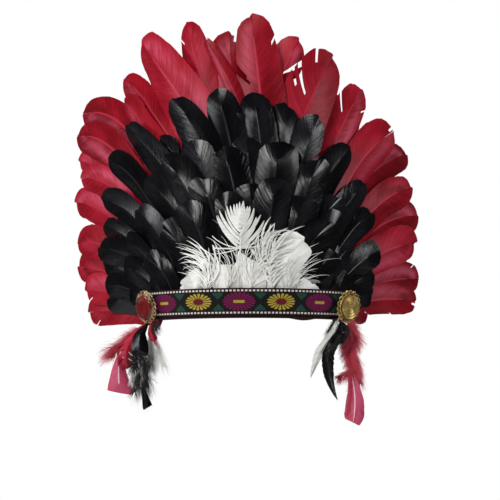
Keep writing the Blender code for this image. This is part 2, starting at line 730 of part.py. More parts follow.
def make_plume(name, side, rows, material):
    """A drop plume: its stem and its locks joined into one body."""
    stem = rows[0]
    line = bowed_line(stem_spot(stem, 0), stem_spot(stem, 1), stem[4], STEM_STATIONS)
    plume = finish(name, lock_mesh(line, STEM_STATIONS, stem[5], side), material)
    locks = helper_collection(name + "_locks")
    for i, (root_run, tip_across, tip_down, bow, width, forward) in enumerate(rows[1:]):
        tip = (tip_across, tip_down, forward)
        line = bowed_line(stem_spot(stem, root_run), tip, bow, LOCK_STATIONS)
        lock = finish(f"{name}_lock_{i + 1}", lock_mesh(line, LOCK_STATIONS, width, side), material)
        hide_in(lock, locks)
    add_boolean(plume, "UNION", locks)


def main():
    clear_scene()
    materials = {
        "red": make_material("red_feather", (0.34, 0.012, 0.025), 0.5),
        "black": make_material("black_feather", (0.012, 0.012, 0.015), 0.4),
        "white": make_material("white_feather", (0.72, 0.72, 0.69), 0.7),
        "cotton": make_material("brown_cotton", (0.028, 0.012, 0.014), 0.85),
        "braid": make_material("woven_ribbon", (0.18, 0.02, 0.09), 0.7),
        "elastic": make_material("black_elastic", (0.02, 0.018, 0.018), 0.8),
        "gold": make_material("antique_gold", (0.42, 0.27, 0.10), 0.42, 1.0),
        "brass": make_material("brass", (0.55, 0.38, 0.13), 0.35, 1.0),
        "stone": make_material("red_enamel", (0.18, 0.012, 0.010), 0.15),
    }
    make_bands(materials)
    make_feather_rows(materials)
    make_medallions(materials)
    for name, side, rows, colour in DROP_PLUMES:
        make_plume(name, side, rows, materials[colour])


main()
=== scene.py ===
import math

import bpy
import numpy as np
from mathutils import Matrix, Vector


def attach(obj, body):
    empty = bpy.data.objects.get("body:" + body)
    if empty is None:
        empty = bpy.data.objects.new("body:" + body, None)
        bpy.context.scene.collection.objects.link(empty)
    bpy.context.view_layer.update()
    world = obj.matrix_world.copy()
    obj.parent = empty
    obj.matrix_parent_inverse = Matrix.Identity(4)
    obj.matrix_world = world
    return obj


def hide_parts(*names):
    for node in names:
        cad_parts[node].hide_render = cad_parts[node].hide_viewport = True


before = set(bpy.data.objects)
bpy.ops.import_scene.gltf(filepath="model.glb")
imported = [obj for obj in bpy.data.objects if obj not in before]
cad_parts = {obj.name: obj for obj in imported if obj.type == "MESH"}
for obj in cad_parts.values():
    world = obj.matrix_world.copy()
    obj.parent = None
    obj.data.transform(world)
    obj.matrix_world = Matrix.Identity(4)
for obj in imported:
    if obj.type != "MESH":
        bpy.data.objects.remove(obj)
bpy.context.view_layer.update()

# The head ring and the fan, metres and degrees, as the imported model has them
head = {
    "browRadius": 0.088, "browAngle": 50.0, "length": 0.196, "flare": 12.0, "curl": 0.600,
    "firstLayer": 0.0018, "blade": 0.0008, "pitch": 0.0011, "splay": 0.014, "quillSpan": 0.148,
    "stripLow": 0.0037, "stripCrown": 0.015, "fanHeight": 0.010, "rootAngle": 82.0,
    "arch": 0.16, "archFactor": 2.0,
}
browAngle = math.radians(head["browAngle"])
browArc = head["browRadius"] * browAngle
browCentre = head["browRadius"] - head["length"] / 2
seed = 7
rnd = np.random.default_rng(seed)


def leanOut(rise):
    return rise * math.tan(math.radians(head["flare"])) - rise * rise / (2 * head["curl"])


def fanPoint(along, height, out):
    # brow arc first, then straight on past it
    over = np.maximum(0, np.abs(along) - browArc)
    angle = np.minimum(np.abs(along), browArc) / head["browRadius"]
    radius = head["browRadius"] + out + leanOut(np.hypot(over, height))
    x = np.sign(along) * (radius * np.sin(angle) + over * np.cos(angle))
    y = browCentre - radius * np.cos(angle) + over * np.sin(angle)
    return np.stack([x, y, height + 0 * x], axis=-1)


def layerStep(along, height):
    # room that one feather layer has here
    past = np.hypot(
        np.maximum(0, np.abs(along) - head["quillSpan"] / 2),
        np.maximum(0, height - head["stripLow"] - head["stripCrown"]),
    )
    return head["pitch"] + head["splay"] * past


def deselectAll():
    if bpy.context.object and bpy.context.object.mode != "OBJECT":
        bpy.ops.object.mode_set(mode="OBJECT")
    bpy.ops.object.select_all(action="DESELECT")


def makeActive(piece):
    deselectAll()
    piece.select_set(True)
    bpy.context.view_layer.objects.active = piece


def newMesh(name, points, faces, uvs=None, tone=None):
    mesh = bpy.data.meshes.new(name)
    mesh.from_pydata([tuple(p) for p in points], [], [tuple(int(i) for i in f) for f in faces])
    if uvs is not None:
        layer = mesh.uv_layers.new(name="UVMap")
        loops = np.zeros(len(mesh.loops), dtype=np.int32)
        mesh.loops.foreach_get("vertex_index", loops)
        layer.data.foreach_set("uv", np.asarray(uvs, dtype=np.float32)[loops].ravel())
    if tone is not None:
        store = mesh.attributes.new("tone", "FLOAT", "POINT")
        store.data.foreach_set("value", np.asarray(tone, dtype=np.float32))
    mesh.validate()
    piece = bpy.data.objects.new(name, mesh)
    bpy.context.scene.collection.objects.link(piece)
    return piece


def addModifier(piece, kind, **settings):
    made = piece.modifiers.new(kind.lower(), kind)
    for key, value in settings.items():
        setattr(made, key, value)
    makeActive(piece)
    bpy.ops.object.modifier_apply(modifier=made.name)


def smooth(piece, degrees=60):
    makeActive(piece)
    bpy.ops.object.shade_smooth_by_angle(angle=math.radians(degrees))
    deselectAll()


def keep(piece, material, node):
    piece.data.materials.clear()
    piece.data.materials.append(material)
    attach(piece, "root")
    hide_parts(node)


def fuse(parts):
    # several lots of points, faces and uvs, put together as one
    points, faces, uvs, total = [], [], [], 0
    for spots, partFaces, partUvs in parts:
        points.append(spots)
        faces += [tuple(v + total for v in face) for face in partFaces]
        uvs.append(partUvs)
        total += len(spots)
    return np.concatenate(points), faces, np.concatenate(uvs)


# Shader sockets that add their own Math nodes

class Wire:
    def __init__(self, tree, socket=None):
        self.tree = tree
        self.socket = socket

    def node(self, kind, settings=None, sockets=None, out=0):
        made = self.tree.nodes.new(kind)
        for name, value in (settings or {}).items():
            setattr(made, name, value)
        for key, value in (sockets or {}).items():
            if isinstance(value, Wire):
                self.tree.links.new(value.socket, made.inputs[key])
            else:
                made.inputs[key].default_value = value
        return Wire(self.tree, made.outputs[out])

    def output(self, index):
        # another output of the same node
        return Wire(self.tree, self.socket.node.outputs[index])

    def math(self, how, *others):
        return self.node("ShaderNodeMath", {"operation": how}, dict(enumerate((self, *others))))

    def __add__(self, other):
        return self.math("ADD", other)

    __radd__ = __add__

    def __mul__(self, other):
        return self.math("MULTIPLY", other)

    __rmul__ = __mul__

    def __sub__(self, other):
        return self.math("SUBTRACT", other)

    def __rsub__(self, other):
        return self.node("ShaderNodeMath", {"operation": "SUBTRACT"}, {0: other, 1: self})

    def __truediv__(self, other):
        return self.math("DIVIDE", other)

    def absolute(self):
        return self.math("ABSOLUTE")

    def sine(self):
        return self.math("SINE")

    def soft(self, low, high):
        # 0 below low, 1 above high
        return self.node(
            "ShaderNodeMapRange", {"interpolation_type": "SMOOTHSTEP"},
            {"Value": self, "From Min": low, "From Max": high},
        )

    def blend(self, first, second):
        # colours mixed by this value; a plain colour is given as red, green and blue
        low, high = [colour if isinstance(colour, Wire) else (*colour, 1.0) for colour in (first, second)]
        return self.node("ShaderNodeMix", {"data_type": "RGBA"}, {0: self, 6: low, 7: high}, out=2)

    def darker(self, strength):
        # this colour times a grey
        return self.node(
            "ShaderNodeMix", {"data_type": "RGBA", "blend_type": "MULTIPLY"},
            {0: 1.0, 6: self, 7: (strength, strength, strength, 1.0)}, out=2,
        )

    def noise(self, scale, detail, roughness, vector):
        sockets = {"Scale": scale, "Detail": detail, "Roughness": roughness, "Vector": vector}
        return self.node("ShaderNodeTexNoise", None, sockets)


def startMaterial(name, values):
    material = bpy.data.materials.new(name)
    material.use_nodes = True
    shader = material.node_tree.nodes["Principled BSDF"]
    for key, value in values.items():
        shader.inputs[key].default_value = value
    return material, Wire(material.node_tree), shader


def plug(wire, shader, socket):
    wire.tree.links.new(wire.socket, shader.inputs[socket])


def bump(wire, height, strength, distance, under=None):
    sockets = {"Height": height, "Strength": strength, "Distance": distance}
    if under is not None:
        sockets["Normal"] = under
    return wire.node("ShaderNodeBump", None, sockets)


def uvParts(wire):
    spot = wire.node("ShaderNodeUVMap", {"uv_map": "UVMap"})
    parts = wire.node("ShaderNodeSeparateXYZ", None, {0: spot})
    return parts, parts.output(1)


def vectorOf(wire, x, y, z=0.0):
    return wire.node("ShaderNodeCombineXYZ", None, {0: x, 1: y, 2: z})


print("scene: feather finishes")

# Feather UVs: U runs out along the barbs from -1 to 1 about the shaft, V along the shaft in metres.
# Each feather has its own tone between 0 and 1.
# Besides its own colours, each finish holds a painted highlight colour and how strongly one half of each vane
# takes it on beside the shaft.
featherFinish = {
    "red": {
        "deep": (0.145, 0.001, 0.005), "mid": (0.265, 0.003, 0.012), "light": (0.370, 0.010, 0.030),
        "paintedHighlight": (0.640, 0.110, 0.190), "paintedHighlightShare": 0.75, "shaft": (0.40, 0.020, 0.045),
        "roughness": 0.42, "sheen": 0.0, "specular": 0.13, "roof": 0.0022, "lean": 0.0060,
    },
    "pink": {
        "deep": (0.300, 0.020, 0.055), "mid": (0.440, 0.050, 0.110), "light": (0.540, 0.090, 0.170),
        "paintedHighlight": (0.620, 0.160, 0.250), "paintedHighlightShare": 0.4, "shaft": (0.80, 0.60, 0.62),
        "roughness": 0.45, "sheen": 0.0, "specular": 0.26, "roof": 0.0020, "lean": 0.0020,
    },
    "black": {
        "deep": (0.0015, 0.0015, 0.0022), "mid": (0.0032, 0.0032, 0.0042), "light": (0.008, 0.008, 0.011),
        "paintedHighlight": (0.016, 0.017, 0.023), "paintedHighlightShare": 0.55, "shaft": (0.016, 0.016, 0.017),
        "roughness": 0.24, "sheen": 0.0, "specular": 0.165, "roof": 0.0046, "lean": 0.0080,
    },
    "white": {
        "deep": (0.60, 0.60, 0.57), "mid": (0.86, 0.86, 0.83), "light": (0.96, 0.96, 0.94),
        "paintedHighlight": (0.97, 0.97, 0.95), "paintedHighlightShare": 0.5, "shaft": (0.74, 0.73, 0.68),
        "roughness": 0.62, "sheen": 0.3, "specular": 0.4, "roof": 0.0035, "lean": 0.0060,
    },
}


def featherMaterial(name):
    use = featherFinish[name]
    material, wire, shader = startMaterial(name + "Feather", {
        "Sheen Weight": use["sheen"], "Sheen Roughness": 0.4, "Specular IOR Level": use["specular"],
    })
    across, along = uvParts(wire)
    tone = wire.node("ShaderNodeAttribute", {"attribute_name": "tone"}, out=2)
    out = across.absolute()
    # barbs lie across the vane, so streaks are long in U and narrow in V
    streak = wire.noise(1.0, 3.0, 0.6, vectorOf(wire, across * 0.9, along * 420.0, tone * 31.0))
    fine = wire.noise(1.0, 2.0, 0.5, vectorOf(wire, across * 1.6, along * 1700.0, tone * 17.0))
    cloud = wire.noise(1.0, 2.0, 0.5, vectorOf(wire, across * 1.2, along * 26.0, tone * 13.0))
    shade = (streak - 0.5) * 0.9 + (cloud - 0.5) * 1.1 + (tone - 0.5) * 0.5 + 0.5
    dark = shade.soft(0.1, 0.62).blend(use["deep"], use["mid"])
    colour = shade.soft(0.5, 1.05).blend(dark, use["light"])
    # painted highlight: one half of each vane is lighter beside the shaft, a satin sheen painted into the
    # colour
    lean = (tone - 0.5) * 2.0
    half = (across * lean).soft(-0.15, 0.55)
    paintedHighlightPatches = (cloud * 1.4 + (streak - 0.5) * 0.6 - 0.25).soft(0.1, 0.75)
    paintedHighlightMask = half * (1.0 - out.soft(0.35, 0.95)) * paintedHighlightPatches
    grain = (fine - 0.5) * 1.2 + 0.85
    colour = (paintedHighlightMask * grain * use["paintedHighlightShare"]).blend(colour, use["paintedHighlight"])
    shaft = 1.0 - out.soft(0.03, 0.07)
    plug(shaft.blend(colour, use["shaft"]), shader, "Base Color")
    plug((fine - 0.5) * 0.12 + (cloud - 0.5) * 0.22 + use["roughness"], shader, "Roughness")
    # the vane is folded along its shaft and leans to one side
    form = across * (tone - 0.5) * use["lean"] - out * use["roof"] + (cloud - 0.5) * 0.0006
    folded = bump(wire, form, 1.0, 1.0)
    plug(bump(wire, fine * 0.5 + streak * 0.9, 0.55, 0.0004, folded), shader, "Normal")
    return material


feather = {name: featherMaterial(name) for name in featherFinish}

# Feather shape. A row of the sheet is one pair of barbs, so splits run along barbs as they do on a
# real feather. Rows: run along the shaft, barb length in half widths, barb angle from the shaft.
barbTable = np.array([
    (0.00, 0.80, 88), (0.04, 0.85, 76), (0.10, 0.95, 64), (0.25, 1.12, 50), (0.45, 1.28, 46),
    (0.65, 1.38, 45), (0.80, 1.40, 44), (0.90, 1.33, 41), (0.95, 1.24, 34), (0.98, 1.14, 23), (1.00, 1.03, 0),
])
# Rows crowd towards the tip, a split turns the barbs beside it, a barb opens past its hinge, and all
# turns fade near the tip
vane = {"start": 0.01, "crowding": 1.4, "splitReach": 0.035, "hinge": 0.75, "tipFade": 0.10, "waves": 9}


def featherSheet(rows, columns, halfWidth, length, look):
    # flat feather: x across, y along, z lift; returns points, faces, uvs and the shaft's length
    runs = 1 - (1 - np.linspace(0, 1, rows)) ** vane["crowding"]
    taper = np.array(look.get("taper", ((0, 1), (1, 1))))
    barb = np.interp(runs, barbTable[:, 0], barbTable[:, 1]) * halfWidth
    barb *= np.interp(runs, taper[:, 0], taper[:, 1])
    angle = np.radians(np.interp(runs, barbTable[:, 0], barbTable[:, 2]))
    shaftY = length * vane["start"] + (length * (1 - vane["start"]) - barb[-1]) * runs
    share = np.linspace(0, 1, columns)
    points, faces, uvs = [], [], []
    for side in (-1, 1):
        reach = barb * (1 + side * look.get("skew", 0.0))
        reach = reach * (1 + look["rough"] * rnd.normal(size=rows))
        cut = np.ones(rows)
        bend = np.zeros(rows)
        for splitSide, where, depth, spread in look.get("splits", ()):
            if splitSide != side:
                continue
            j = int(np.argmin(np.abs(runs - where)))
            cut[j] = min(cut[j], 1 - depth)
            near = np.exp(-np.abs(runs - runs[j]) / vane["splitReach"])
            bend += np.where(runs > runs[j], -1, 1) * near * math.radians(spread)
        j = 0 if "clump" in look else rows
        while j < rows:
            size = int(rnd.integers(look["clump"], look["clump"] * 2 + 1))
            part = slice(j, min(rows, j + size))
            bend[part] += math.radians(rnd.normal() * look["clumpTurn"])
            reach[part] *= 1 + rnd.normal() * look["clumpLength"]
            if rnd.random() < look["clumpCut"]:
                cut[min(rows, j + size) - 1] = 1 - rnd.uniform(*look["cutDepth"])
            j += size
        reach[-1] = barb[-1]
        first = len(points)
        for j in range(rows):
            hinge = min(cut[max(0, j - 1)], cut[j], vane["hinge"])
            inner = np.minimum(share, hinge)
            outer = share - inner
            fade = min(1.0, (1 - runs[j]) / vane["tipFade"])
            turned = angle[j] - math.radians(look["barbCurve"]) * fade * share
            opened = turned + bend[j] * fade
            x = side * reach[j] * (inner * np.sin(turned) + outer * np.sin(opened))
            y = shaftY[j] + reach[j] * (inner * np.cos(turned) + outer * np.cos(opened))
            wave = np.sin(vane["waves"] * runs[j] + 3 * look.get("phase", 0) + side)
            lift = look.get("ripple", 0.0) * wave * share ** 2
            for c in range(columns):
                points.append((x[c], y[c], lift[c]))
                uvs.append((side * share[c], shaftY[j]))
        for j in range(rows - 1):
            for c in range(columns - 1):
                if share[c + 1] > cut[j] + 1e-6:
                    continue
                a = first + j * columns + c
                quad = (a, a + 1, a + columns + 1, a + columns)
                faces.append(quad if side > 0 else quad[::-1])
    points = np.array(points)
    if "clipped" in look:
        # a feather cut off straight: what lies past the cut is dropped
        limit, slope = look["clipped"]
        edge = limit * length + slope * points[:, 0]
        inside = points[:, 1] < edge
        faces = [face for face in faces if inside[list(face)].any()]
        points[:, 1] = np.minimum(points[:, 1], edge)
    return points, faces, np.array(uvs), min(shaftY[-1], points[:, 1].max())


# Ragged feathers: every clump of barbs is a strip of its own that leaves the shaft and tapers off.
# Rows of shape: run along the vane, strip length in half widths, angle from the shaft, inward turn.
# Rows of extra have the side first.
leafLook = {
    "clumps": 8, "vaneStart": 0.49, "widen": (0.56, 0.80), "turn": 2.0, "bend": 4.0, "length": 0.05,
    "lift": 0.0003, "half": 0.80, "sweep": 0.0, "uneven": 0.35,
    "shape": (
        (0, 2.7, 46, -34), (0.2, 2.5, 42, -34), (0.5, 2.0, 38, -34), (0.8, 1.4, 28, -28), (1, 1.0, 12, -14),
    ),
    "extra": (
        (-1, 0.0, 2.9, 84, -60), (-1, 0.0, 3.3, 96, -24), (-1, 0.0, 2.2, 118, -30), (1, 0.0, 2.4, 84, -20),
        (1, 0.0, 1.8, 70, -30),
    ),
}
strandLook = {
    "clumps": 13, "vaneStart": 0.10, "widen": (0.42, 0.42), "turn": 9.0, "bend": 22.0, "length": 0.22,
    "lift": 0.0014, "half": 1.0, "sweep": 34.0, "uneven": 0.5,
    "shape": ((0, 1.9, 40, -22), (0.3, 2.5, 30, -14), (0.7, 2.4, 22, -6), (1, 1.6, 8, 6)), "extra": (),
}
strip = {
    "stations": 12, "extraWidth": 0.5, "step": 0.0001, "ridge": 0.15,
    "runs": (0, 0.15, 0.6, 0.85, 1), "widths": (0.70, 1.0, 0.90, 0.60, 0.10),
}


def bentPath(turn):
    # a curve of length 1 through these headings: how far it gets sideways and ahead
    steps = len(turn) - 1
    sideways = np.cumsum(np.concatenate([[0], np.sin(turn[:-1])])) / steps
    return sideways, np.cumsum(np.concatenate([[0], np.cos(turn[:-1])])) / steps


def raggedSheet(halfWidth, length, look, lean):
    points, faces, uvs = [], [], []
    halfWidth *= look["half"]
    start = look["vaneStart"] * length
    end = length - look["shape"][-1][1] * halfWidth
    pitch = (end - start) / look["clumps"]
    share = np.linspace(0, 1, strip["stations"])
    table = np.array(look["shape"])
    strips = []
    for side in (-1, 1):
        for run in np.arange(look["clumps"] + 1) / look["clumps"]:
            strips.append((side, run, *[np.interp(run, table[:, 0], table[:, c]) for c in (1, 2, 3)]))
    for i, (side, run, size, angle, inward) in enumerate(strips + list(look["extra"])):
        reach = size * halfWidth * (1 + look["length"] * rnd.normal())
        bend = math.radians(rnd.normal() * look["bend"] + inward + side * lean * look["sweep"])
        turn = math.radians(angle + rnd.normal() * look["turn"]) + bend * share
        wide = pitch * look["widen"][side > 0] * (1 + look["uneven"] * rnd.uniform(-1, 1))
        wide *= 1 if i < len(strips) else strip["extraWidth"]
        stepX, stepY = bentPath(turn)
        half = wide / 2 * np.interp(share, strip["runs"], strip["widths"])
        lift = look["lift"] * rnd.normal() * share + strip["step"] * (i % 3)
        first = len(points)
        for j in range(strip["stations"]):
            for lane in (-1, 0, 1):
                x = reach * stepX[j] + math.cos(turn[j]) * half[j] * lane
                y = start + run * (end - start) + reach * stepY[j] - math.sin(turn[j]) * half[j] * lane
                points.append((side * x, y, lift[j] + strip["ridge"] * half[j] * (1 - abs(lane))))
                uvs.append((side * (0.1 + 0.9 * share[j]), y))
        for j in range(strip["stations"] - 1):
            for lane in range(2):
                a = first + j * 3 + lane
                quad = (a, a + 1, a + 4, a + 3)
                faces.append(quad if side < 0 else quad[::-1])
    return np.array(points), faces, np.array(uvs), end


def tube(centre, first, second, radius, sides):
    # a closed tube along a line; first and second span its sections
    turn = 2 * np.pi * np.arange(sides) / sides
    ring = first[:, None] * np.cos(turn)[None, :, None] + second[:, None] * np.sin(turn)[None, :, None]
    points = (centre[:, None] + radius[:, None, None] * ring).reshape(-1, 3)
    faces = []
    for j in range(len(centre) - 1):
        for k in range(sides):
            a = j * sides + k
            b = j * sides + (k + 1) % sides
            faces.append((a, b, b + sides, a + sides))
    faces.append(tuple(reversed(range(sides))))
    faces.append(tuple(range(len(points) - sides, len(points))))
    return points, faces


def shaftTube(length, radius, sides=5, stations=14):
    # the quill: a tapering tube down the middle of the flat feather
    run = np.linspace(0, 1, stations)
    centre = np.outer(run * length, (0, 1, 0))
    across = np.tile((1.0, 0, 0), (stations, 1))
    under = np.tile((0, 0, -1.0), (stations, 1))
    points, faces = tube(centre, across, under, radius * (1 - 0.85 * run), sides)
    return points, faces, np.stack([0 * points[:, 1], points[:, 1]], axis=1)


def onFan(points, spec):
    # lays a flat feather on its layer of the fan
    root, tip, bow = spec["root"], spec["tip"], spec["bow"]
    chord = tip - root
    length = np.linalg.norm(chord)
    side = np.array([chord[1], -chord[0]])
    run = points[:, 1] / length
    centre = root + chord * run[:, None] + side * (4 * bow * run * (1 - run))[:, None]
    tangent = chord + side * (4 * bow * (1 - 2 * run))[:, None]
    tangent /= np.linalg.norm(tangent, axis=1)[:, None]
    across = np.stack([tangent[:, 1], -tangent[:, 0]], axis=1)
    spot = centre + across * points[:, :1]
    step = layerStep(spot[:, 0], spot[:, 1])
    wide = points[:, 0] / spec["halfWidth"]
    cup = spec["cup"] + spec["tipCup"] * np.clip((run - 0.5) / 0.4, 0, 1)
    twist = spec["twist"] + spec["tipTwist"] * np.clip((run - 0.5) / 0.5, 0, 1) ** 1.5
    lifted = twist * wide - cup * wide ** 2 - spec["fold"] * np.sqrt(wide ** 2 + 0.01)
    out = head["firstLayer"] + head["blade"] / 2 + step * (spec["level"] + lifted)
    out += points[:, 2] + spec["curl"] * length * np.clip(run - 0.55, 0, 1) ** 2
    return fanPoint(spot[:, 0], spot[:, 1], out)


def featherRoot(index, count, span):
    turn = -math.radians(head["rootAngle"]) + (index + 0.5) * 2 * math.radians(head["rootAngle"]) / count
    return np.array([span / 2 * math.sin(turn), head["stripLow"] + head["stripCrown"] * math.cos(turn)])


# How far feathers of a row differ; splits are drawn by run along the shaft, depth and turn
chance = {
    "skew": 0.12, "phase": 6, "splitRun": (0.40, 0.93), "splitDepth": (0.3, 0.8), "splitTurn": (1.5, 5),
    "level": 0.08, "tipCup": (0.6, 1.3), "twist": (0.8, 1.2), "curl": (-0.6, 1.4),
}
# strips of barbs that have come apart at one feather's right edge: side, run, depth, turn
stripSplits = [(1, 0.60, 0.85, 9), (1, 0.71, 0.88, 12), (1, 0.82, 0.9, 14), (1, 0.92, 0.9, 12)]
# the shorter whole vane under a fringed feather's strands
underVane = {"share": 0.66, "behind": 0.0008, "taper": ((0, 1), (0.6, 1), (1, 0.3))}


def featherRow(name, table, use, colour, node):
    # one joined piece for a row of feathers
    pieces, tones = [], []
    for i, (tipAngle, share, bow, width, *style) in enumerate(table):
        style = style[0] if style else "whole"
        turn = math.radians(tipAngle)
        root = featherRoot(i, len(table), use["span"])
        tip = np.array([0, head["fanHeight"]])
        tip = tip + share * use["reach"] * np.array([math.sin(turn), math.cos(turn)])
        length = float(np.linalg.norm(tip - root))
        half = use["width"] * width / 2 * use["spread"]
        look = dict(
            use["look"], skew=rnd.uniform(-chance["skew"], chance["skew"]),
            phase=rnd.uniform(0, chance["phase"]),
        )
        splitCount = rnd.poisson(use["splits"])
        look["splits"] = [
            (rnd.choice((-1, 1)), rnd.uniform(*chance["splitRun"]), rnd.uniform(*chance["splitDepth"]),
             rnd.uniform(*chance["splitTurn"]))
            for k in range(splitCount)
        ]
        spec = {
            "root": root, "tip": tip, "halfWidth": half * 1.02, "fold": use["fold"],
            "bow": bow - head["arch"] * math.sin(head["archFactor"] * turn),
            "level": use["level"] + i % 2 + rnd.uniform(-chance["level"], chance["level"]),
            "cup": use["cup"], "tipCup": use["tipCup"] * rnd.uniform(*chance["tipCup"]),
            "twist": use["twist"] * rnd.uniform(*chance["twist"]),
            "curl": use["curl"] * rnd.uniform(*chance["curl"]),
            "tipTwist": use["tipTwist"] * rnd.normal(),
        }
        tone = rnd.random()
        if style == "split":
            look["splits"] = stripSplits
        parts = []
        if style in ("leaf", "strands", "fringed"):
            ragged = leafLook if style == "leaf" else strandLook
            *sheet, shaftLength = raggedSheet(half, length, ragged, math.copysign(1, turn))
            parts.append(sheet)
        if style == "fringed":
            look["taper"] = underVane["taper"]
            whole = length * underVane["share"]
            *sheet, shaftLength = featherSheet(use["rows"], use["columns"], half, whole, look)
            sheet[0][:, 2] -= underVane["behind"]
            parts.append(sheet)
        elif style in ("whole", "split"):
            *sheet, shaftLength = featherSheet(use["rows"], use["columns"], half, length, look)
            parts.append(sheet)
        shaft = shaftTube(shaftLength, use["shaft"])
        shaft[0][:, 2] += use["shaft"] * 0.35
        for part, partFaces, partUvs in parts + [shaft]:
            pieces.append((onFan(part, spec), partFaces, partUvs))
            tones.append(np.full(len(part), tone))
    piece = newMesh(name, *fuse(pieces), np.concatenate(tones))
    addModifier(piece, "SOLIDIFY", thickness=use["thickness"], offset=0)
    smooth(piece)
    keep(piece, feather[colour], node)


print("scene: feather rows")

# tip angle from upright, reach share, bow, width share, and a style where the vane isn't whole
redFeathers = (
    (-90, 0.74, 0.02, 0.75), (-84, 0.76, 0.01, 0.80), (-78, 0.86, -0.01, 0.85), (-72, 0.87, 0.01, 0.85),
    (-64, 0.98, -0.01, 0.90), (-58, 0.97, 0.02, 0.80), (-56, 1.06, -0.02, 0.80), (-52, 1.13, 0.01, 0.95),
    (-49, 1.21, 0.03, 0.95), (-34, 0.90, -0.02, 0.70), (-34, 1.02, 0.01, 0.85), (-24, 1.03, 0.02, 1.05),
    (-12, 0.98, -0.02, 0.75), (-8, 0.89, 0.06, 0.30), (-3, 0.90, -0.03, 0.95), (1, 0.95, 0.02, 0.85),
    (11, 0.90, -0.05, 0.80, "split"), (18, 0.88, 0.00, 1.10), (30, 0.88, 0.03, 0.95),
    (43, 0.87, 0.02, 1.00), (51, 0.91, -0.01, 0.85), (57, 0.82, 0.02, 0.85), (65, 0.83, -0.02, 0.90),
    (71, 0.76, 0.01, 0.90), (81, 0.76, -0.01, 0.80), (87, 0.71, -0.02, 0.75), (92, 0.46, -0.04, 0.50),
)
blackBackFeathers = (
    (-86, 0.80, 0.02, 0.90), (-81, 0.82, 0.01, 0.90), (-75, 0.86, 0.00, 0.95), (-70, 0.90, 0.02, 1.00),
    (-63, 0.92, -0.02, 0.95), (-56, 0.97, 0.01, 1.00), (-46, 1.06, -0.01, 1.05), (-33, 1.03, 0.01, 0.95),
    (-24, 0.83, 0.01, 0.70), (-16, 0.96, 0.02, 1.00), (-10, 0.82, -0.02, 0.75), (-6, 0.95, 0.00, 0.95),
    (-2, 0.83, 0.01, 0.75), (2, 0.92, 0.02, 0.95), (10, 0.89, 0.03, 1.00), (18, 0.87, 0.02, 0.95),
    (31, 0.84, 0.01, 0.95), (43, 0.78, 0.02, 0.95), (54, 0.75, 0.01, 1.00), (68, 0.72, 0.02, 1.00),
    (76, 0.67, 0.00, 0.95), (84, 0.64, -0.02, 0.90), (88, 0.57, -0.02, 0.80),
)
blackMiddleFeathers = (
    (-82, 0.85, 0.00, 0.95), (-72, 0.91, 0.02, 0.95), (-62, 0.97, 0.00, 1.00), (-46, 0.90, -0.02, 1.00),
    (-35, 0.98, 0.02, 1.00), (-24, 1.00, 0.00, 1.00), (-14, 1.03, -0.02, 0.95), (-6, 0.94, 0.02, 0.90),
    (1, 1.01, 0.00, 0.90), (10, 0.99, 0.02, 1.10), (18, 0.90, 0.00, 0.90), (23, 0.96, 0.02, 0.90),
    (37, 0.84, 0.00, 1.00), (43, 0.76, 0.02, 0.95), (59, 0.68, 0.00, 0.95), (76, 0.67, -0.02, 0.90),
)
blackFrontFeathers = (
    (-77, 0.81, 0.00, 0.90), (-62, 0.86, 0.02, 0.95), (-41, 0.85, 0.00, 1.00), (-26, 0.89, 0.02, 0.95),
    (-15, 1.03, 0.00, 0.95), (-8, 0.87, -0.02, 0.85), (2, 0.94, 0.02, 0.90), (12, 1.00, 0.00, 0.90),
    (25, 0.94, 0.02, 0.95), (40, 0.86, 0.00, 1.00), (54, 0.76, 0.02, 0.95), (73, 0.70, 0.00, 0.90),
)
whiteFeathers = (
    (-74, 0.59, 0.00, 0.90), (-59, 0.55, 0.02, 1.00), (-47, 0.57, -0.02, 0.80, "fringed"),
    (-42, 0.69, 0.03, 0.80, "strands"), (-37, 0.74, -0.02, 0.80, "strands"),
    (-18, 0.53, 0.00, 1.10, "fringed"), (-1, 0.96, 0.00, 1.10, "leaf"),
    (14, 0.56, 0.02, 1.20, "fringed"), (18, 0.81, 0.00, 0.70, "strands"),
    (26, 0.83, -0.03, 0.70, "strands"), (37, 0.77, 0.02, 1.30), (45, 0.63, 0.00, 0.90, "fringed"),
    (56, 0.66, -0.02, 0.90, "strands"), (71, 0.61, 0.00, 0.95),
)

redRow = {
    "reach": 0.240, "width": 0.040, "span": 0.148, "level": 0, "rows": 60, "columns": 9, "splits": 0.50,
    "cup": 0.15, "tipCup": 0.45, "fold": 0.30, "twist": 0.25, "tipTwist": 0.4, "curl": -0.03,
    "thickness": 0.00022, "shaft": 0.0008, "spread": 1.08,
    "look": {
        "rough": 0.005, "ripple": 0.0009, "barbCurve": 8.0, "clump": 9, "clumpTurn": 0.8, "clumpLength": 0.02,
        "clumpCut": 0.12, "cutDepth": (0.1, 0.35),
    },
}
blackBackRow = {
    "reach": 0.175, "width": 0.027, "span": 0.148, "level": 2, "rows": 48, "columns": 8, "splits": 0.3,
    "cup": 0.15, "tipCup": 0.30, "fold": 0.75, "twist": 0.35, "tipTwist": 0.45, "curl": 0.05,
    "thickness": 0.00022, "shaft": 0.0006, "spread": 1.08,
    "look": {"rough": 0.010, "ripple": 0.0004, "barbCurve": 8.0},
}
blackMiddleRow = dict(blackBackRow, reach=0.125, span=0.148 * 0.92, level=4)
blackFrontRow = dict(blackBackRow, reach=0.095, span=0.148 * 0.80, level=6)
whiteRow = dict(
    blackBackRow, reach=0.078, width=0.024, span=0.148 * 0.55, level=8, splits=1.5, spread=0.92, fold=0.4,
)

for name, table, use, colour, node in (
    ("redFeathers", redFeathers, redRow, "red", "red_feather_row"),
    ("blackFeathersBack", blackBackFeathers, blackBackRow, "black", "black_feather_row_back"),
    ("blackFeathersMiddle", blackMiddleFeathers, blackMiddleRow, "black", "black_feather_row_middle"),
    ("blackFeathersFront", blackFrontFeathers, blackFrontRow, "black", "black_feather_row_front"),
    ("whiteFeathers", whiteFeathers, whiteRow, "white", "white_feather_row"),
):
    featherRow(name, table, use, colour, node)

print("scene: bands")

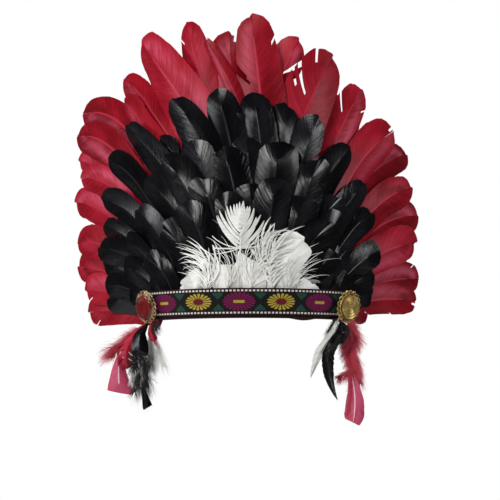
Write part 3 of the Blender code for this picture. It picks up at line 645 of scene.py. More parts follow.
band = {
    "headBreadth": 0.155, "headbandWall": 0.0015, "headbandHeight": 0.0225, "headbandSide": 0.025,
    "tapeWall": 0.0010, "tapeOut": 0.0128, "tapeHeight": 0.0200, "ribbonOut": 0.0143,
    "ribbonHeight": 0.0202, "ribbonBase": 0.0014, "ribbonEnd": 0.0080, "medallionAngle": 47.0,
    "strapBase": 0.0115, "strapHeight": 0.0110, "strapWall": 0.0012, "strapOverlap": 0.014, "gap": 0.0003,
    "foldRise": 0.0005, "foldDepth": 0.0112, "foldOut": 0.0013,
}
halfBreadth = band["headBreadth"] / 2
templeRadius = (halfBreadth - head["browRadius"] * math.sin(browAngle)) / (1 - math.sin(browAngle))
templeArc = templeRadius * (math.pi / 2 - browAngle)
templeY = browCentre - (head["browRadius"] - templeRadius) * math.cos(browAngle)
rearY = head["length"] / 2 - halfBreadth
sideRun = rearY - templeY
halfRing = browArc + templeArc + sideRun + halfBreadth * math.pi / 2
headbandReach = browArc + templeArc + band["headbandSide"]
medallionAlong = head["browRadius"] * math.radians(band["medallionAngle"])
ribbonHalf = medallionAlong + band["ribbonEnd"]


def ringPoint(along, height, out):
    # brow arc, temple arc, straight side, round back
    run = np.abs(along)
    flat = 0 * run
    sideStart = browArc + templeArc
    pick = [run <= browArc, run <= sideStart, run <= sideStart + sideRun]
    angle = np.select(pick, [
        run / head["browRadius"], browAngle + (run - browArc) / templeRadius, np.pi / 2 + flat,
    ], np.pi / 2 + (run - sideStart - sideRun) / halfBreadth)
    x = np.select(pick, [flat, halfBreadth - templeRadius + flat, flat], flat)
    y = np.select(pick, [browCentre + flat, templeY + flat, templeY + run - sideStart], rearY + flat)
    radius = np.select(pick[:2], [head["browRadius"] + flat, templeRadius + flat], halfBreadth + flat)
    past = np.clip((run - browArc) / templeArc, 0, 1)
    reach = radius + out + leanOut(height) * (1 + np.cos(np.pi * past)) / 2
    x = np.sign(along) * (x + reach * np.sin(angle))
    return np.stack([x, y - reach * np.cos(angle), height + 0 * x], axis=-1)


def gridFaces(rows, columns):
    return [
        (j * columns + c, j * columns + c + 1, (j + 1) * columns + c + 1, (j + 1) * columns + c)
        for j in range(rows - 1) for c in range(columns - 1)
    ]


def trueLength(place, out, height):
    # how much longer a cloth on the fan is than the same stretch at the brow
    return (head["browRadius"] + out + leanOut(height)) / head["browRadius"] if place is fanPoint else 1.0


def clothBand(name, place, low, high, base, height, out, wall, wave=None, rows=8):
    # a thin cloth wall with UVs in metres along and up
    columns = int((high - low) / 0.0015) + 2
    along = np.linspace(low, high, columns)
    real = trueLength(place, out, base + height / 2)
    points, uvs = [], []
    for j in range(rows):
        rise = base + height * j / (rows - 1)
        lift = np.zeros(columns) if wave is None else wave(along, j / (rows - 1))
        edge = min(j, rows - 1 - j)
        tuck = wall * 0.25 if edge == 0 else 0.0
        points.append(place(along, rise + lift, out + wall / 2 - tuck + 0 * along))
        uvs.append(np.stack([along * real, np.full(columns, height * j / (rows - 1))], axis=-1))
    piece = newMesh(name, np.concatenate(points), gridFaces(rows, columns), np.concatenate(uvs))
    makeActive(piece)
    bpy.ops.object.mode_set(mode="EDIT")
    bpy.ops.mesh.select_all(action="SELECT")
    bpy.ops.mesh.normals_make_consistent(inside=False)
    bpy.ops.object.mode_set(mode="OBJECT")
    addModifier(piece, "SOLIDIFY", thickness=wall * 0.9, offset=0)
    smooth(piece, 40)
    return piece


# Ribbon pattern in metres: a magenta and a yellow flower every repeat, green pairs between them
ribbonLook = {
    "height": 0.0202, "repeat": 0.0635, "magentaPlace": -0.0040, "magentaHalf": (0.0124, 0.0070),
    "yellowHalf": (0.0108, 0.0062), "magentaPetals": 22.0, "yellowPetals": 18.0, "dash": (0.0042, 0.0010),
    "eye": 0.40, "border": 0.0074, "greenHalf": 0.0040, "dotPitch": 0.0029, "dotHalf": (0.00085, 0.00062),
    "dotRows": (0.0019, 0.0183), "ground": (0.022, 0.004, 0.006), "field": (0.0085, 0.0060, 0.0080),
    "magenta": (0.170, 0.008, 0.070), "deepMagenta": (0.055, 0.004, 0.022), "yellow": (0.46, 0.34, 0.040),
    "green": (0.014, 0.060, 0.038), "maroon": (0.130, 0.010, 0.022), "white": (0.78, 0.74, 0.68),
    "weftPitch": 0.00055, "warpPitch": 0.00042,
}


def ribbonMaterial():
    look = ribbonLook
    material, wire, shader = startMaterial("wovenRibbon", {"Roughness": 0.78, "Specular IOR Level": 0.15})
    along, up = uvParts(wire)
    rise = up - look["height"] / 2
    high = rise.absolute()

    def inRepeat(place, repeat):
        # distance from the nearest copy of a motif
        return (((along - place) / repeat + 0.5).math("FRACT") - 0.5) * repeat

    def within(value, limit, edge=0.0002):
        return 1.0 - (value - limit).soft(-edge, edge)

    def oval(x, half):
        ex, ey = x / half[0], rise / half[1]
        return ex, ey, (ex * ex + ey * ey).math("SQRT")

    def flower(x, half, count):
        ex, ey, radius = oval(x, half)
        lobe = (ey.math("ARCTAN2", ex) * count).sine() * 0.5 + 0.5
        return lobe, 1.0 - (radius - (lobe * 0.10 + 0.90)).soft(-0.02, 0.03)

    magentaX = inRepeat(look["magentaPlace"], look["repeat"])
    yellowX = inRepeat(look["magentaPlace"] + look["repeat"] / 2, look["repeat"])
    greenX = inRepeat(look["magentaPlace"] + look["repeat"] / 4, look["repeat"] / 2).absolute()
    colour = within(high, look["border"]).blend(look["ground"], look["field"])

    # a pair of green leaves, points together
    slope = greenX * 0.95 + 0.0016
    leaf = (high - slope).soft(-0.0002, 0.0003) * within(high, 0.0066) * within(greenX, look["greenHalf"])
    colour = leaf.blend(colour, look["green"])

    lobe, mask = flower(magentaX, look["magentaHalf"], look["magentaPetals"])
    petal = lobe.soft(0.08, 0.55).blend(look["deepMagenta"], look["magenta"])
    colour = (mask * within(high, 0.0068)).blend(colour, petal)
    dash = within(magentaX.absolute(), look["dash"][0]) * within(high, look["dash"][1])
    colour = dash.blend(colour, look["yellow"])

    lobe, mask = flower(yellowX, look["yellowHalf"], look["yellowPetals"])
    colour = mask.blend(colour, lobe.soft(0.10, 0.40).blend(look["field"], look["yellow"]))
    radius = oval(yellowX, look["yellowHalf"])[2]
    colour = (1.0 - (radius - look["eye"]).soft(-0.05, 0.05)).blend(colour, look["maroon"])

    # white picots along both edges
    beside = (((along / look["dotPitch"]).math("FRACT") - 0.5) * look["dotPitch"]).absolute()
    for row in look["dotRows"]:
        dot = within(beside, look["dotHalf"][0]) * within((up - row).absolute(), look["dotHalf"][1])
        colour = dot.blend(colour, look["white"])

    # weft ribs and warp threads, which also shade the colour a little
    weft = (up * 2 * math.pi / look["weftPitch"]).sine()
    warp = (along * 2 * math.pi / look["warpPitch"]).sine()
    threads = weft * 0.5 + warp * 0.35
    uneven = wire.noise(1.0, 3.0, 0.6, vectorOf(wire, along * 600.0, up * 1500.0))
    shadow = (threads * 0.25 + uneven).soft(0.15, 0.75)
    plug(shadow.blend(colour.darker(0.55), colour), shader, "Base Color")
    plug(bump(wire, threads, 0.5, 0.00012), shader, "Normal")
    return material


def clothMaterial(name, deep, light, pitch, roughness, twill):
    material, wire, shader = startMaterial(name, {"Specular IOR Level": 0.15})
    along, up = uvParts(wire)
    weft = ((up + along * twill) * 2 * math.pi / pitch).sine()
    warp = (along * 2 * math.pi / (pitch * 0.8)).sine()
    cloud = wire.noise(1.0, 3.0, 0.6, vectorOf(wire, along * 90.0, up * 220.0))
    shade = weft * 0.15 + warp * 0.10 + cloud
    plug(shade.soft(0.2, 0.85).blend(deep, light), shader, "Base Color")
    plug((cloud - 0.5) * 0.2 + roughness, shader, "Roughness")
    plug(bump(wire, weft * 0.5 + warp * 0.4 + cloud * 0.6, 0.6, 0.00015), shader, "Normal")
    return material


cotton = clothMaterial("brownCotton", (0.010, 0.003, 0.004), (0.030, 0.010, 0.012), 0.0006, 0.85, 0.35)
elastic = clothMaterial("blackElastic", (0.008, 0.008, 0.009), (0.024, 0.023, 0.024), 0.0011, 0.8, 0.0)

# ripples: height, pace and start; the bulge hangs lower at one place
hem = {
    "ripples": ((0.0004, 74, 1.0), (0.0003, 151, 0.4)),
    "bulge": 0.0020, "bulgeAt": 0.0400, "bulgeWidth": 0.0090,
}


def hemWave(along, share):
    # the folded tape's lower edge isn't straight; its top edge is
    wave = sum(size * np.sin(along * pace + start) for size, pace, start in hem["ripples"])
    bulge = hem["bulge"] * np.exp(-((along - hem["bulgeAt"]) / hem["bulgeWidth"]) ** 2)
    return (wave - bulge) * (1 - share) ** 2


def foldPoint(along, height, out):
    # the tape's fold lies level under the quills, so that its height runs outward
    return fanPoint(along, band["foldRise"] + 0 * height, out + height)


def strapPoint(along, height, out):
    # runs past the middle of the back without a seam
    near = np.where(along > halfRing, along - 2 * halfRing, along)
    return ringPoint(near, height, out)


headband = clothBand(
    "headband", ringPoint, -headbandReach, headbandReach, 0.0, band["headbandHeight"], 0.0,
    band["headbandWall"],
)
keep(headband, cotton, "headband")
2 * headbandReach

tape = clothBand(
    "quillTape", fanPoint, -ribbonHalf, ribbonHalf, 0.0, band["tapeHeight"], band["tapeOut"],
    band["tapeWall"], hemWave,
)
fold = clothBand(
    "quillTapeFold", foldPoint, -ribbonHalf, ribbonHalf, 0.0, band["foldDepth"], band["foldOut"],
    band["tapeWall"], None, 4,
)
makeActive(tape)
fold.select_set(True)
bpy.ops.object.join()
keep(tape, cotton, "quill_binding")
tapeLength = 2 * ribbonHalf * trueLength(fanPoint, band["tapeOut"], band["tapeHeight"] / 2)

ribbon = clothBand(
    "flowerRibbon", fanPoint, -ribbonHalf, ribbonHalf, band["ribbonBase"], band["ribbonHeight"],
    band["ribbonOut"], band["tapeWall"],
)
keep(ribbon, ribbonMaterial(), "braid_ribbon")
ribbonLength = 2 * ribbonHalf * trueLength(fanPoint, band["ribbonOut"], band["ribbonHeight"] / 2)

strapStart = headbandReach - band["strapOverlap"]
strap = clothBand(
    "backStrap", strapPoint, strapStart, 2 * halfRing - strapStart, band["strapBase"], band["strapHeight"],
    band["headbandWall"] + band["gap"], band["strapWall"], None, 6,
)
keep(strap, elastic, "back_strap")
2 * (halfRing - strapStart)

print("scene: medallions")

medallion = {
    "width": 0.0270, "height": 0.0255, "centre": 0.0098, "standoff": 0.0022, "plate": 0.0016,
    "stoneShare": 0.74, "stoneRise": 0.0030, "stud": 0.0045, "out": 0.0156,
}


def medallionMatrix(side):
    turn = math.radians(band["medallionAngle"])

    def onBand(height):
        return Vector(fanPoint(np.array(side * medallionAlong), np.array(height), np.array(medallion["out"])))

    up = (onBand(band["ribbonHeight"]) - onBand(0.0)).normalized()
    across = Vector((math.cos(turn), side * math.sin(turn), 0))
    outward = across.cross(up).normalized()
    axes = Matrix((across, outward.cross(across), outward)).transposed()
    centre = onBand(medallion["centre"]) + outward * medallion["standoff"]
    return Matrix.Translation(centre) @ axes.to_4x4()


def turnedOval(name, profile, count=96):
    # profile rows: share of the half width, height over the plate's back
    deselectAll()
    bpy.ops.mesh.primitive_circle_add(vertices=count, radius=1, fill_type="NGON")
    piece = bpy.context.object
    piece.name = name
    bpy.ops.object.mode_set(mode="EDIT")
    first, low = profile[0]
    bpy.ops.transform.resize(value=(medallion["width"] / 2 * first, medallion["height"] / 2 * first, 1))
    bpy.ops.transform.translate(value=(0, 0, low))
    for share, height in profile[1:]:
        bpy.ops.mesh.extrude_edges_move()
        grow = share / first
        bpy.ops.transform.resize(value=(grow, grow, 1), center_override=(0, 0, low))
        bpy.ops.transform.translate(value=(0, 0, height - low))
        first, low = share, height
    bpy.ops.mesh.edge_face_add()
    bpy.ops.mesh.poke()
    bpy.ops.mesh.select_all(action="SELECT")
    bpy.ops.mesh.fill_holes(sides=0)
    bpy.ops.mesh.normals_make_consistent(inside=False)
    bpy.ops.object.mode_set(mode="OBJECT")
    return piece


def ringOf(model, count, share, height, tilt, name):
    # copies of a small model round the oval, each with its own mesh and not quite of one size
    copies = []
    for i in range(count):
        turn = 2 * math.pi * (i + 0.5) / count
        reach = (medallion["width"] / 2 * share, medallion["height"] / 2 * share)
        spot = Vector((reach[0] * math.cos(turn), reach[1] * math.sin(turn), height))
        size = 1 + 0.06 * math.sin(5.3 * i + 1)
        turned = Matrix.Rotation(turn, 4, "Z") @ Matrix.Rotation(tilt, 4, "Y") @ Matrix.Scale(size, 4)
        mesh = model.data.copy()
        mesh.transform(Matrix.Translation(spot) @ turned)
        copy = bpy.data.objects.new(name, mesh)
        bpy.context.scene.collection.objects.link(copy)
        copies.append(copy)
    bpy.data.objects.remove(model, do_unlink=True)
    return copies


def torusModel(major, minor, stretch=1.0):
    deselectAll()
    bpy.ops.mesh.primitive_torus_add(
        major_segments=16, minor_segments=8, major_radius=major, minor_radius=minor,
    )
    bpy.ops.object.mode_set(mode="EDIT")
    bpy.ops.transform.resize(value=(stretch, 1, 1))
    bpy.ops.object.mode_set(mode="OBJECT")
    return bpy.context.object


def beadModel(radius):
    deselectAll()
    bpy.ops.mesh.primitive_uv_sphere_add(segments=10, ring_count=6, radius=radius)
    return bpy.context.object


def seat(piece, trim, side, degrees, material, node):
    # joins the trim to the piece and puts both in place on the band
    makeActive(piece)
    for other in trim:
        other.select_set(True)
    bpy.ops.object.join()
    piece.data.transform(medallionMatrix(side))
    piece.matrix_world = Matrix()
    smooth(piece, degrees)
    keep(piece, material, node)


def metalMaterial(name, deep, light, roughness, grain):
    material, wire, shader = startMaterial(name, {"Metallic": 1.0})
    spot = wire.node("ShaderNodeTexCoord", out=3)
    wear = wire.noise(260.0, 4.0, 0.6, spot)
    fine = wire.noise(1400.0, 2.0, 0.5, spot)
    plug(wear.soft(0.35, 0.68).blend(deep, light), shader, "Base Color")
    plug((wear - 0.5) * -0.3 + roughness, shader, "Roughness")
    plug(bump(wire, fine + wear * 0.5, grain, 0.0002), shader, "Normal")
    return material


def enamelMaterial():
    material, wire, shader = startMaterial("redEnamel", {"Coat Weight": 0.6, "Coat Roughness": 0.12})
    swirl = wire.noise(130.0, 2.0, 0.5, wire.node("ShaderNodeTexCoord", out=3))
    plug(swirl.soft(0.3, 0.75).blend((0.095, 0.002, 0.003), (0.17, 0.007, 0.006)), shader, "Base Color")
    plug((swirl - 0.5) * 0.1 + 0.22, shader, "Roughness")
    return material


antiqueGold = metalMaterial("antiqueGold", (0.14, 0.08, 0.035), (0.74, 0.55, 0.32), 0.46, 0.30)
brass = metalMaterial("brass", (0.30, 0.20, 0.06), (0.56, 0.41, 0.16), 0.46, 0.10)

plate, rise, shareIn = medallion["plate"], medallion["stoneRise"], medallion["stoneShare"]
studShare = medallion["stud"] / (medallion["width"] / 2)
base = plate + band["gap"]


def settingProfile(rows):
    # the stud behind, then rows of share of the half width and height in plates
    stud = [(studShare, -medallion["standoff"]), (studShare, 0.0)]
    return stud + [(share, plate * height) for share, height in rows]


leftPlate = turnedOval("leftMedallionSetting", settingProfile((
    (0.80, 0.0), (0.82, 0.4), (0.82, 0.9), (0.80, 1.3), (0.785, 1.5), (0.77, 1.5), (0.76, 1.3), (0.75, 1.0),
)))
frill = ringOf(torusModel(0.00155, 0.00032, 1.10), 22, 0.90, plate * 0.8, 0.30, "frill")
frill += ringOf(torusModel(0.00070, 0.00020), 46, 0.82, plate * 1.35, 0.5, "lace")
frill += ringOf(beadModel(0.00050), 22, 1.0, plate * 0.6, 0.0, "bead")
seat(leftPlate, frill, -1, 50, antiqueGold, "left_medallion_setting")

# shares of the stone's half width and rise
dish = (
    (0.98, 0.0), (1.0, 0.2), (1.0, 0.42), (0.97, 0.56), (0.91, 0.60),
    (0.80, 0.52), (0.62, 0.38), (0.42, 0.29), (0.20, 0.25), (0.05, 0.245),
)
stone = turnedOval("leftMedallionStone", [(shareIn * share, base + rise * height) for share, height in dish])
seat(stone, [], -1, 60, enamelMaterial(), "left_medallion_stone")

rightPlate = turnedOval("rightMedallionSetting", settingProfile((
    (0.80, 0.0), (0.83, 0.4), (0.83, 1.1), (0.81, 1.5), (0.79, 1.6), (0.77, 1.4), (0.75, 1.0),
)))
scallops = ringOf(torusModel(0.00160, 0.00056), 18, 0.875, plate * 0.75, 0.12, "scallop")
scallops += ringOf(beadModel(0.00050), 18, 0.965, plate * 1.1, 0.0, "boss")
seat(rightPlate, scallops, 1, 50, brass, "right_medallion_setting")

# the boss's rings, with heights as shares of its rise
ridged = {
    "rings": 34, "dome": 0.34, "edge": 0.30, "groove": 0.12, "grooves": 4.2,
    "dimple": 0.22, "dimpleSize": 0.16,
}
ridges = [(shareIn * 0.98, base)]
for share in np.linspace(1, 0.07, ridged["rings"]):
    dome = ridged["edge"] + ridged["dome"] * (1 - share) ** 0.8
    groove = ridged["groove"] * math.cos(2 * math.pi * (1 - share) * ridged["grooves"])
    dimple = ridged["dimple"] * math.exp(-(share / ridged["dimpleSize"]) ** 2)
    ridges.append((shareIn * share, base + rise * (dome + groove - dimple)))
boss = turnedOval("rightMedallionBoss", ridges, 72)
seat(boss, [], 1, 60, brass, "right_medallion_boss")

print("scene: side drops")

# A drop leaves the band under its medallion, hangs, and turns to face forward. Its places and sizes
# are shares of its length, across and down from the medallion.
drop = {
    "length": 0.080, "leave": 0.16, "part": 0.27, "turn": 0.45, "rows": 40, "columns": 8, "trim": 0.88,
    "quill": 0.006, "quillLift": 0.003, "cup": 0.15, "lean": 0.1, "thickness": 0.0002,
}


def dropPoint(side, across, down, forward):
    frameOf = medallionMatrix(side)
    top = np.array(frameOf @ Vector((0, 0, -medallion["standoff"] / 2)))
    up = np.array((frameOf.to_3x3() @ Vector((0, 1, 0))).normalized())
    share = np.clip((down - drop["leave"]) / (drop["turn"] - drop["leave"]), 0, 1)
    turn = math.radians(band["medallionAngle"]) * (1 - share)
    sideways = np.stack([side * np.cos(turn), np.sin(turn), 0 * turn], axis=-1)
    outward = np.stack([side * np.sin(turn), -np.cos(turn), 0 * turn], axis=-1)
    hang = np.minimum(down, drop["leave"])[:, None] * up
    hang = hang + np.maximum(0, down - drop["leave"])[:, None] * np.array([0, 0, 1.0])
    away = forward * np.clip((down - drop["leave"]) / (drop["part"] - drop["leave"]), 0, 1)
    return top + drop["length"] * (sideways * across[:, None] - hang + outward * away[:, None])


def lineAt(part, run):
    root, tip = part["root"], part["tip"]
    across = root[0] + (tip[0] - root[0]) * run + 4 * part["bow"] * run * (1 - run)
    return across, root[1] + (tip[1] - root[1]) * run


def named(columns, row):
    # a table row as a dictionary; what it holds past the columns is one dictionary more
    part = dict(zip(columns, row))
    for more in row[len(columns):]:
        part.update(more)
    return part


def vaneOnDrop(side, part):
    # a flat feather laid along its line in the drop's own plane
    half = part["width"] / 2
    length = math.dist(part["root"], part["tip"])
    *sheet, shaftLength = featherSheet(
        drop["rows"], drop["columns"], half / drop["trim"], length, part["look"],
    )
    shaft = shaftTube(shaftLength, part.get("quill", drop["quill"]))
    shaft[0][:, 2] += drop["quillLift"]
    points, faces, uvs = fuse([sheet, shaft])
    run = points[:, 1] / length
    across, down = lineAt(part, run)
    ahead = lineAt(part, run + 0.01)
    tangent = np.stack([ahead[0] - across, ahead[1] - down], axis=1)
    tangent /= np.linalg.norm(tangent, axis=1)[:, None]
    across = across + tangent[:, 1] * points[:, 0]
    down = down - tangent[:, 0] * points[:, 0]
    wide = points[:, 0] / half
    forward = part["forward"] + points[:, 2] + half * (drop["lean"] * wide - drop["cup"] * wide ** 2)
    return dropPoint(side, across, down, forward), faces, uvs * np.array([1, drop["length"]])


thread = {
    "sides": 3, "stations": 6, "upto": 0.97, "spread": 12, "bend": 20, "bendSpread": 25,
    "sizes": (0.55, 1.15), "tipShort": 0.35, "depth": 0.18, "wave": 0.05, "scatter": 0.004, "taper": 0.8,
}


def downOnDrop(side, part):
    # soft barbs along a line: each is a thin closed thread that bends and tapers
    share = np.linspace(0, 1, thread["stations"])
    threads = []
    for run in rnd.random(part["count"]) * thread["upto"]:
        across, down = lineAt(part, np.array([run, run + 0.01]))
        ahead = np.array([across[1] - across[0], down[1] - down[0]])
        ahead /= np.linalg.norm(ahead)
        lane = part.get("oneSide") or rnd.choice((-1, 1))
        beside = np.array([ahead[1], -ahead[0]]) * lane
        angle = math.radians(part["angle"] + rnd.normal() * part.get("spread", thread["spread"]))
        size = part["size"] * rnd.uniform(*thread["sizes"]) * (1 - thread["tipShort"] * run)
        bend = math.radians(rnd.normal() * thread["bendSpread"] - thread["bend"])
        depth = rnd.normal() * thread["depth"]
        stepX, stepY = bentPath(angle + bend * share)
        wave = rnd.normal() * thread["wave"] * np.sin(share * 6 + rnd.uniform(0, 6)) * share
        curve = np.outer(stepX + wave, beside) + np.outer(stepY, ahead)
        spot = np.array([across[0], down[0]]) + size * curve
        spot[:, 1] += part["droop"] * size * share ** 2
        forward = part["forward"] + size * depth * share + rnd.normal() * thread["scatter"]
        centre = dropPoint(side, spot[:, 0], spot[:, 1], forward)
        along = np.gradient(centre, axis=0)
        along /= np.linalg.norm(along, axis=1)[:, None]
        first = np.cross(along, [0.3, 1.0, 0.2])
        first /= np.linalg.norm(first, axis=1)[:, None]
        radius = part["radius"] * (1 - thread["taper"] * share)
        points, faces = tube(centre, first, np.cross(along, first), radius, thread["sides"])
        uvs = np.stack([np.repeat(share, thread["sides"]), np.full(len(points), run)], axis=1)
        threads.append((points, faces, uvs))
    return fuse(threads)


def downMaterial(name, root, tip, sheen):
    material, wire, shader = startMaterial(name + "Down", {"Sheen Weight": sheen, "Roughness": 0.8})
    out = uvParts(wire)[0]
    plug(out.soft(0.0, 1.0).blend(root, tip), shader, "Base Color")
    return material


downFinish = {
    "red": downMaterial("red", (0.52, 0.004, 0.022), (0.66, 0.050, 0.110), 0.3),
    "black": downMaterial("black", (0.0015, 0.0015, 0.002), (0.006, 0.006, 0.0065), 0.0),
    "white": downMaterial("white", (0.78, 0.78, 0.75), (0.92, 0.92, 0.90), 0.3),
}
vaneColumns = ("root", "tip", "bow", "width", "forward", "look")
downColumns = ("root", "tip", "bow", "count", "size", "angle", "forward", "radius", "droop")


def makePlume(side, colour, vanes, downs):
    sideName = "left" if side < 0 else "right"
    name = f"{sideName}{colour.title()}Plume"
    made = []
    if vanes:
        parts = [named(vaneColumns, row) for row in vanes]
        sheets = [vaneOnDrop(side, part) for part in parts]
        finish = [part.get("pink", 0) for part, sheet in zip(parts, sheets) for face in sheet[1]]
        points, faces, uvs = fuse(sheets)
        blades = newMesh(name, points, faces, uvs, np.full(len(points), 0.7))
        blades.data.materials.append(feather[colour])
        if any(finish):
            blades.data.materials.append(feather["pink"])
            blades.data.polygons.foreach_set("material_index", finish)
        addModifier(blades, "SOLIDIFY", thickness=drop["thickness"], offset=0)
        smooth(blades)
        made.append(blades)
    points, faces, uvs = fuse([downOnDrop(side, named(downColumns, row)) for row in downs])
    fluff = newMesh(name + "Down", points, faces, uvs, np.full(len(points), 0.5))
    makeActive(fluff)
    bpy.ops.object.shade_smooth()
    deselectAll()
    fluff.data.materials.append(downFinish[colour])
    made.append(fluff)
    for piece in made:
        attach(piece, "root")
        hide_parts(f"{sideName}_drop_{colour}_plume")


# Outlines of the drops' vanes along their length: a leaf, a pointed hackle and a blade cut straight.
# Rows of taper: run and width share; clipped: where the cut is along the length, and its slope.
leafOutline = {
    "rough": 0.02, "barbCurve": 6.0, "taper": ((0, 0.12), (0.15, 0.7), (0.4, 1.0), (0.8, 0.9), (1, 0.6)),
}
hackleOutline = {"rough": 0.04, "barbCurve": 4.0, "taper": ((0, 0.2), (0.15, 1.0), (0.5, 0.85), (1, 0.10))}
bladeOutline = {"rough": 0.01, "barbCurve": 4.0, "taper": ((0, 0.12), (0.3, 0.6), (0.8, 1.1), (1, 1.1))}
cutLook = dict(bladeOutline, clipped=(0.88, -0.35))
wedgeLook = dict(bladeOutline, clipped=(0.86, 0.30))
longBladeLook = dict(bladeOutline, clipped=(0.90, 0.25), taper=((0, 0.3), (0.4, 1.0), (0.65, 1.05), (1, 0.6)))
frayedLook = dict(leafOutline, splits=(
    (1, 0.45, 0.5, 5), (1, 0.62, 0.6, 6), (1, 0.80, 0.7, 7), (-1, 0.50, 0.6, 6), (-1, 0.70, 0.6, 5),
    (-1, 0.88, 0.7, 6),
))

makePlume(-1, "red", (
    ((0.045, 0.15), (0.20, 0.60), 0.095, 0.20, 0.02, frayedLook),
    ((0.10, 0.20), (0.30, 0.48), 0.03, 0.12, 0.0, frayedLook),
    ((0.29, 0.44), (0.28, 0.90), 0.02, 0.23, 0.01, cutLook, {"pink": 1}),
    ((-0.01, 0.15), (-0.075, 0.34), 0.0, 0.09, 0.05, leafOutline),
), (
    ((0.16, 0.20), (0.34, 0.50), 0.05, 300, 0.16, 50, 0.0, 0.00014, 0.1, {"oneSide": 1}),
    ((0.28, 0.36), (0.36, 0.50), 0.0, 260, 0.22, 58, 0.0, 0.00012, 0.3, {"oneSide": 1}),
    ((-0.05, 0.26), (-0.08, 0.36), 0.0, 70, 0.07, 30, 0.05, 0.00011, 0.1),
))
makePlume(-1, "black", (
    ((0.03, 0.14), (0.09, 0.48), 0.0, 0.18, 0.10, leafOutline),
    ((0.06, 0.74), (-0.01, 1.02), 0.0, 0.085, 0.10, wedgeLook),
), (
    ((0.12, 0.38), (0.13, 0.62), 0.0, 300, 0.15, 40, 0.09, 0.00015, 0.4, {"spread": 20}),
    ((0.09, 0.42), (0.02, 0.78), -0.03, 460, 0.16, 36, 0.11, 0.00015, 0.4, {"spread": 22}),
    ((0.08, 0.64), (0.13, 0.84), 0.0, 240, 0.12, 40, 0.10, 0.00015, 0.3),
    ((-0.05, 0.14), (-0.14, 0.21), 0.0, 220, 0.11, 34, 0.08, 0.00014, 0.3),
))
makePlume(-1, "white", (), (
    ((0.01, 0.24), (-0.01, 0.58), -0.01, 950, 0.15, 32, -0.04, 0.00015, 0.3),
    ((-0.05, 0.36), (-0.13, 0.58), 0.0, 130, 0.16, 30, -0.06, 0.00010, 0.3),
    ((0.14, 0.58), (0.19, 0.74), 0.0, 130, 0.08, 30, 0.0, 0.00012, 0.3),
    ((0.06, 0.70), (0.08, 0.90), 0.0, 200, 0.19, 42, -0.07, 0.00009, 0.3),
))
makePlume(1, "white", (
    ((-0.09, 0.12), (-0.335, 0.70), -0.02, 0.105, 0.07, hackleOutline),
), (
    ((-0.09, 0.13), (-0.20, 0.40), -0.02, 200, 0.09, 22, 0.06, 0.00013, 0.1),
    ((-0.22, 0.36), (-0.32, 0.64), 0.0, 90, 0.07, 20, 0.06, 0.0001, 0.1),
))
makePlume(1, "black", (
    ((-0.03, 0.13), (-0.075, 0.91), -0.115, 0.135, 0.12, hackleOutline),
), (
    ((-0.11, 0.12), (-0.20, 0.26), 0.0, 420, 0.11, 36, 0.05, 0.00015, 0.2),
    ((-0.01, 0.13), (-0.06, 0.36), 0.0, 360, 0.09, 26, 0.11, 0.00015, 0.1),
))
makePlume(1, "red", (
    ((0.05, 0.62), (0.06, 1.18), 0.04, 0.18, -0.03, longBladeLook, {"pink": 1, "quill": 0.0015}),
), (
    ((0.06, 0.12), (0.06, 0.40), 0.05, 1000, 0.17, 44, -0.04, 0.00019, 0.25),
    ((0.04, 0.28), (0.10, 0.66), -0.02, 1100, 0.14, 42, -0.04, 0.00019, 0.25),
    ((0.10, 0.46), (0.15, 0.76), 0.0, 420, 0.12, 36, -0.06, 0.00014, 0.3),
    ((0.10, 0.62), (-0.07, 0.70), 0.0, 420, 0.09, 50, -0.02, 0.00016, 0.4),
    ((0.06, 0.70), (0.03, 1.04), 0.02, 260, 0.10, 30, -0.04, 0.00012, 0.2, {"oneSide": -1}),
))

print("scene: stage, lights and camera")

stage = {
    "floorHeight": -0.50, "floorRadius": 1.5, "cameraPlace": (0.0409, -0.8139, -0.0356),
    "cameraAzimuth": 3.0, "cameraLift": 7.0, "lens": 67.2,
}

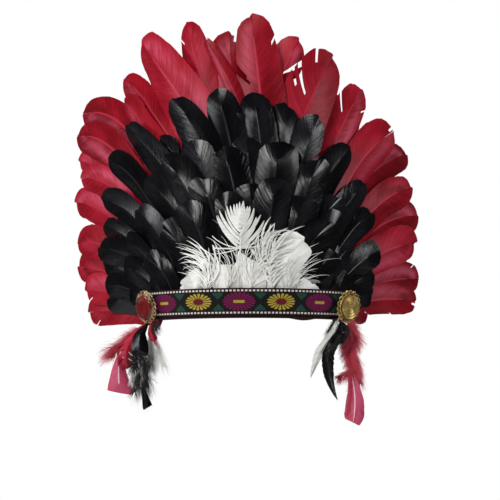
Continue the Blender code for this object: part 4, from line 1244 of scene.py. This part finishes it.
deselectAll()
bpy.ops.mesh.primitive_circle_add(
    vertices=96, radius=stage["floorRadius"], fill_type="NGON", location=(0, 0, stage["floorHeight"])
)
floor = bpy.context.object
floor.name = "floor"
bpy.ops.object.transform_apply(location=True)
floorPaint, wire, shader = startMaterial("paleFloor", {"Roughness": 0.9})
shader.inputs["Base Color"].default_value = (0.86, 0.86, 0.86, 1)
floor.data.materials.append(floorPaint)

lights = (
    # name, place, aimed at, size, power, colour
    ("keyLight", (-0.62, -1.25, 0.62), (0, -0.05, 0.10), 0.36, 15.5, (1.0, 0.99, 0.97)),
    ("leftLight", (-1.35, -0.25, 0.35), (0, -0.03, 0.08), 0.34, 7.0, (0.98, 0.99, 1.0)),
    ("rightLight", (1.30, -0.35, 0.45), (0, -0.03, 0.08), 0.34, 7.0, (0.98, 0.99, 1.0)),
    ("topLight", (0.05, -0.30, 1.40), (0, -0.05, 0.10), 0.36, 7.0, (1.0, 1.0, 1.0)),
    ("backLight", (0.2, 1.2, 0.7), (0, 0, 0.08), 0.90, 7.0, (1.0, 1.0, 1.0)),
)
for name, place, aim, size, power, colour in lights:
    lamp = bpy.data.lights.new(name, "AREA")
    lamp.size = size
    lamp.energy = power
    lamp.color = colour
    holder = bpy.data.objects.new(name, lamp)
    holder.location = place
    holder.rotation_euler = (Vector(aim) - Vector(place)).to_track_quat("-Z", "Y").to_euler()
    bpy.context.scene.collection.objects.link(holder)

world = bpy.data.worlds.new("studio")
world.use_nodes = True
bpy.context.scene.world = world
sky = Wire(world.node_tree)
seen = sky.node("ShaderNodeLightPath")
plain = sky.node("ShaderNodeBackground", None, {"Color": (1, 1, 1, 1), "Strength": 1.0})
soft = sky.node("ShaderNodeBackground", None, {"Color": (1, 1, 1, 1), "Strength": 0.055})
both = sky.node("ShaderNodeMixShader", None, {0: seen, 1: soft, 2: plain})
world.node_tree.links.new(both.socket, world.node_tree.nodes["World Output"].inputs["Surface"])

camera = bpy.data.objects.new("camera", bpy.data.cameras.new("camera"))
camera.data.lens = stage["lens"]
camera.data.clip_start = 0.02
camera.location = stage["cameraPlace"]
camera.rotation_euler = (math.radians(90 + stage["cameraLift"]), 0, math.radians(stage["cameraAzimuth"]))
bpy.context.scene.collection.objects.link(camera)
bpy.context.scene.camera = camera
bpy.context.scene.view_settings.view_transform = "Standard"
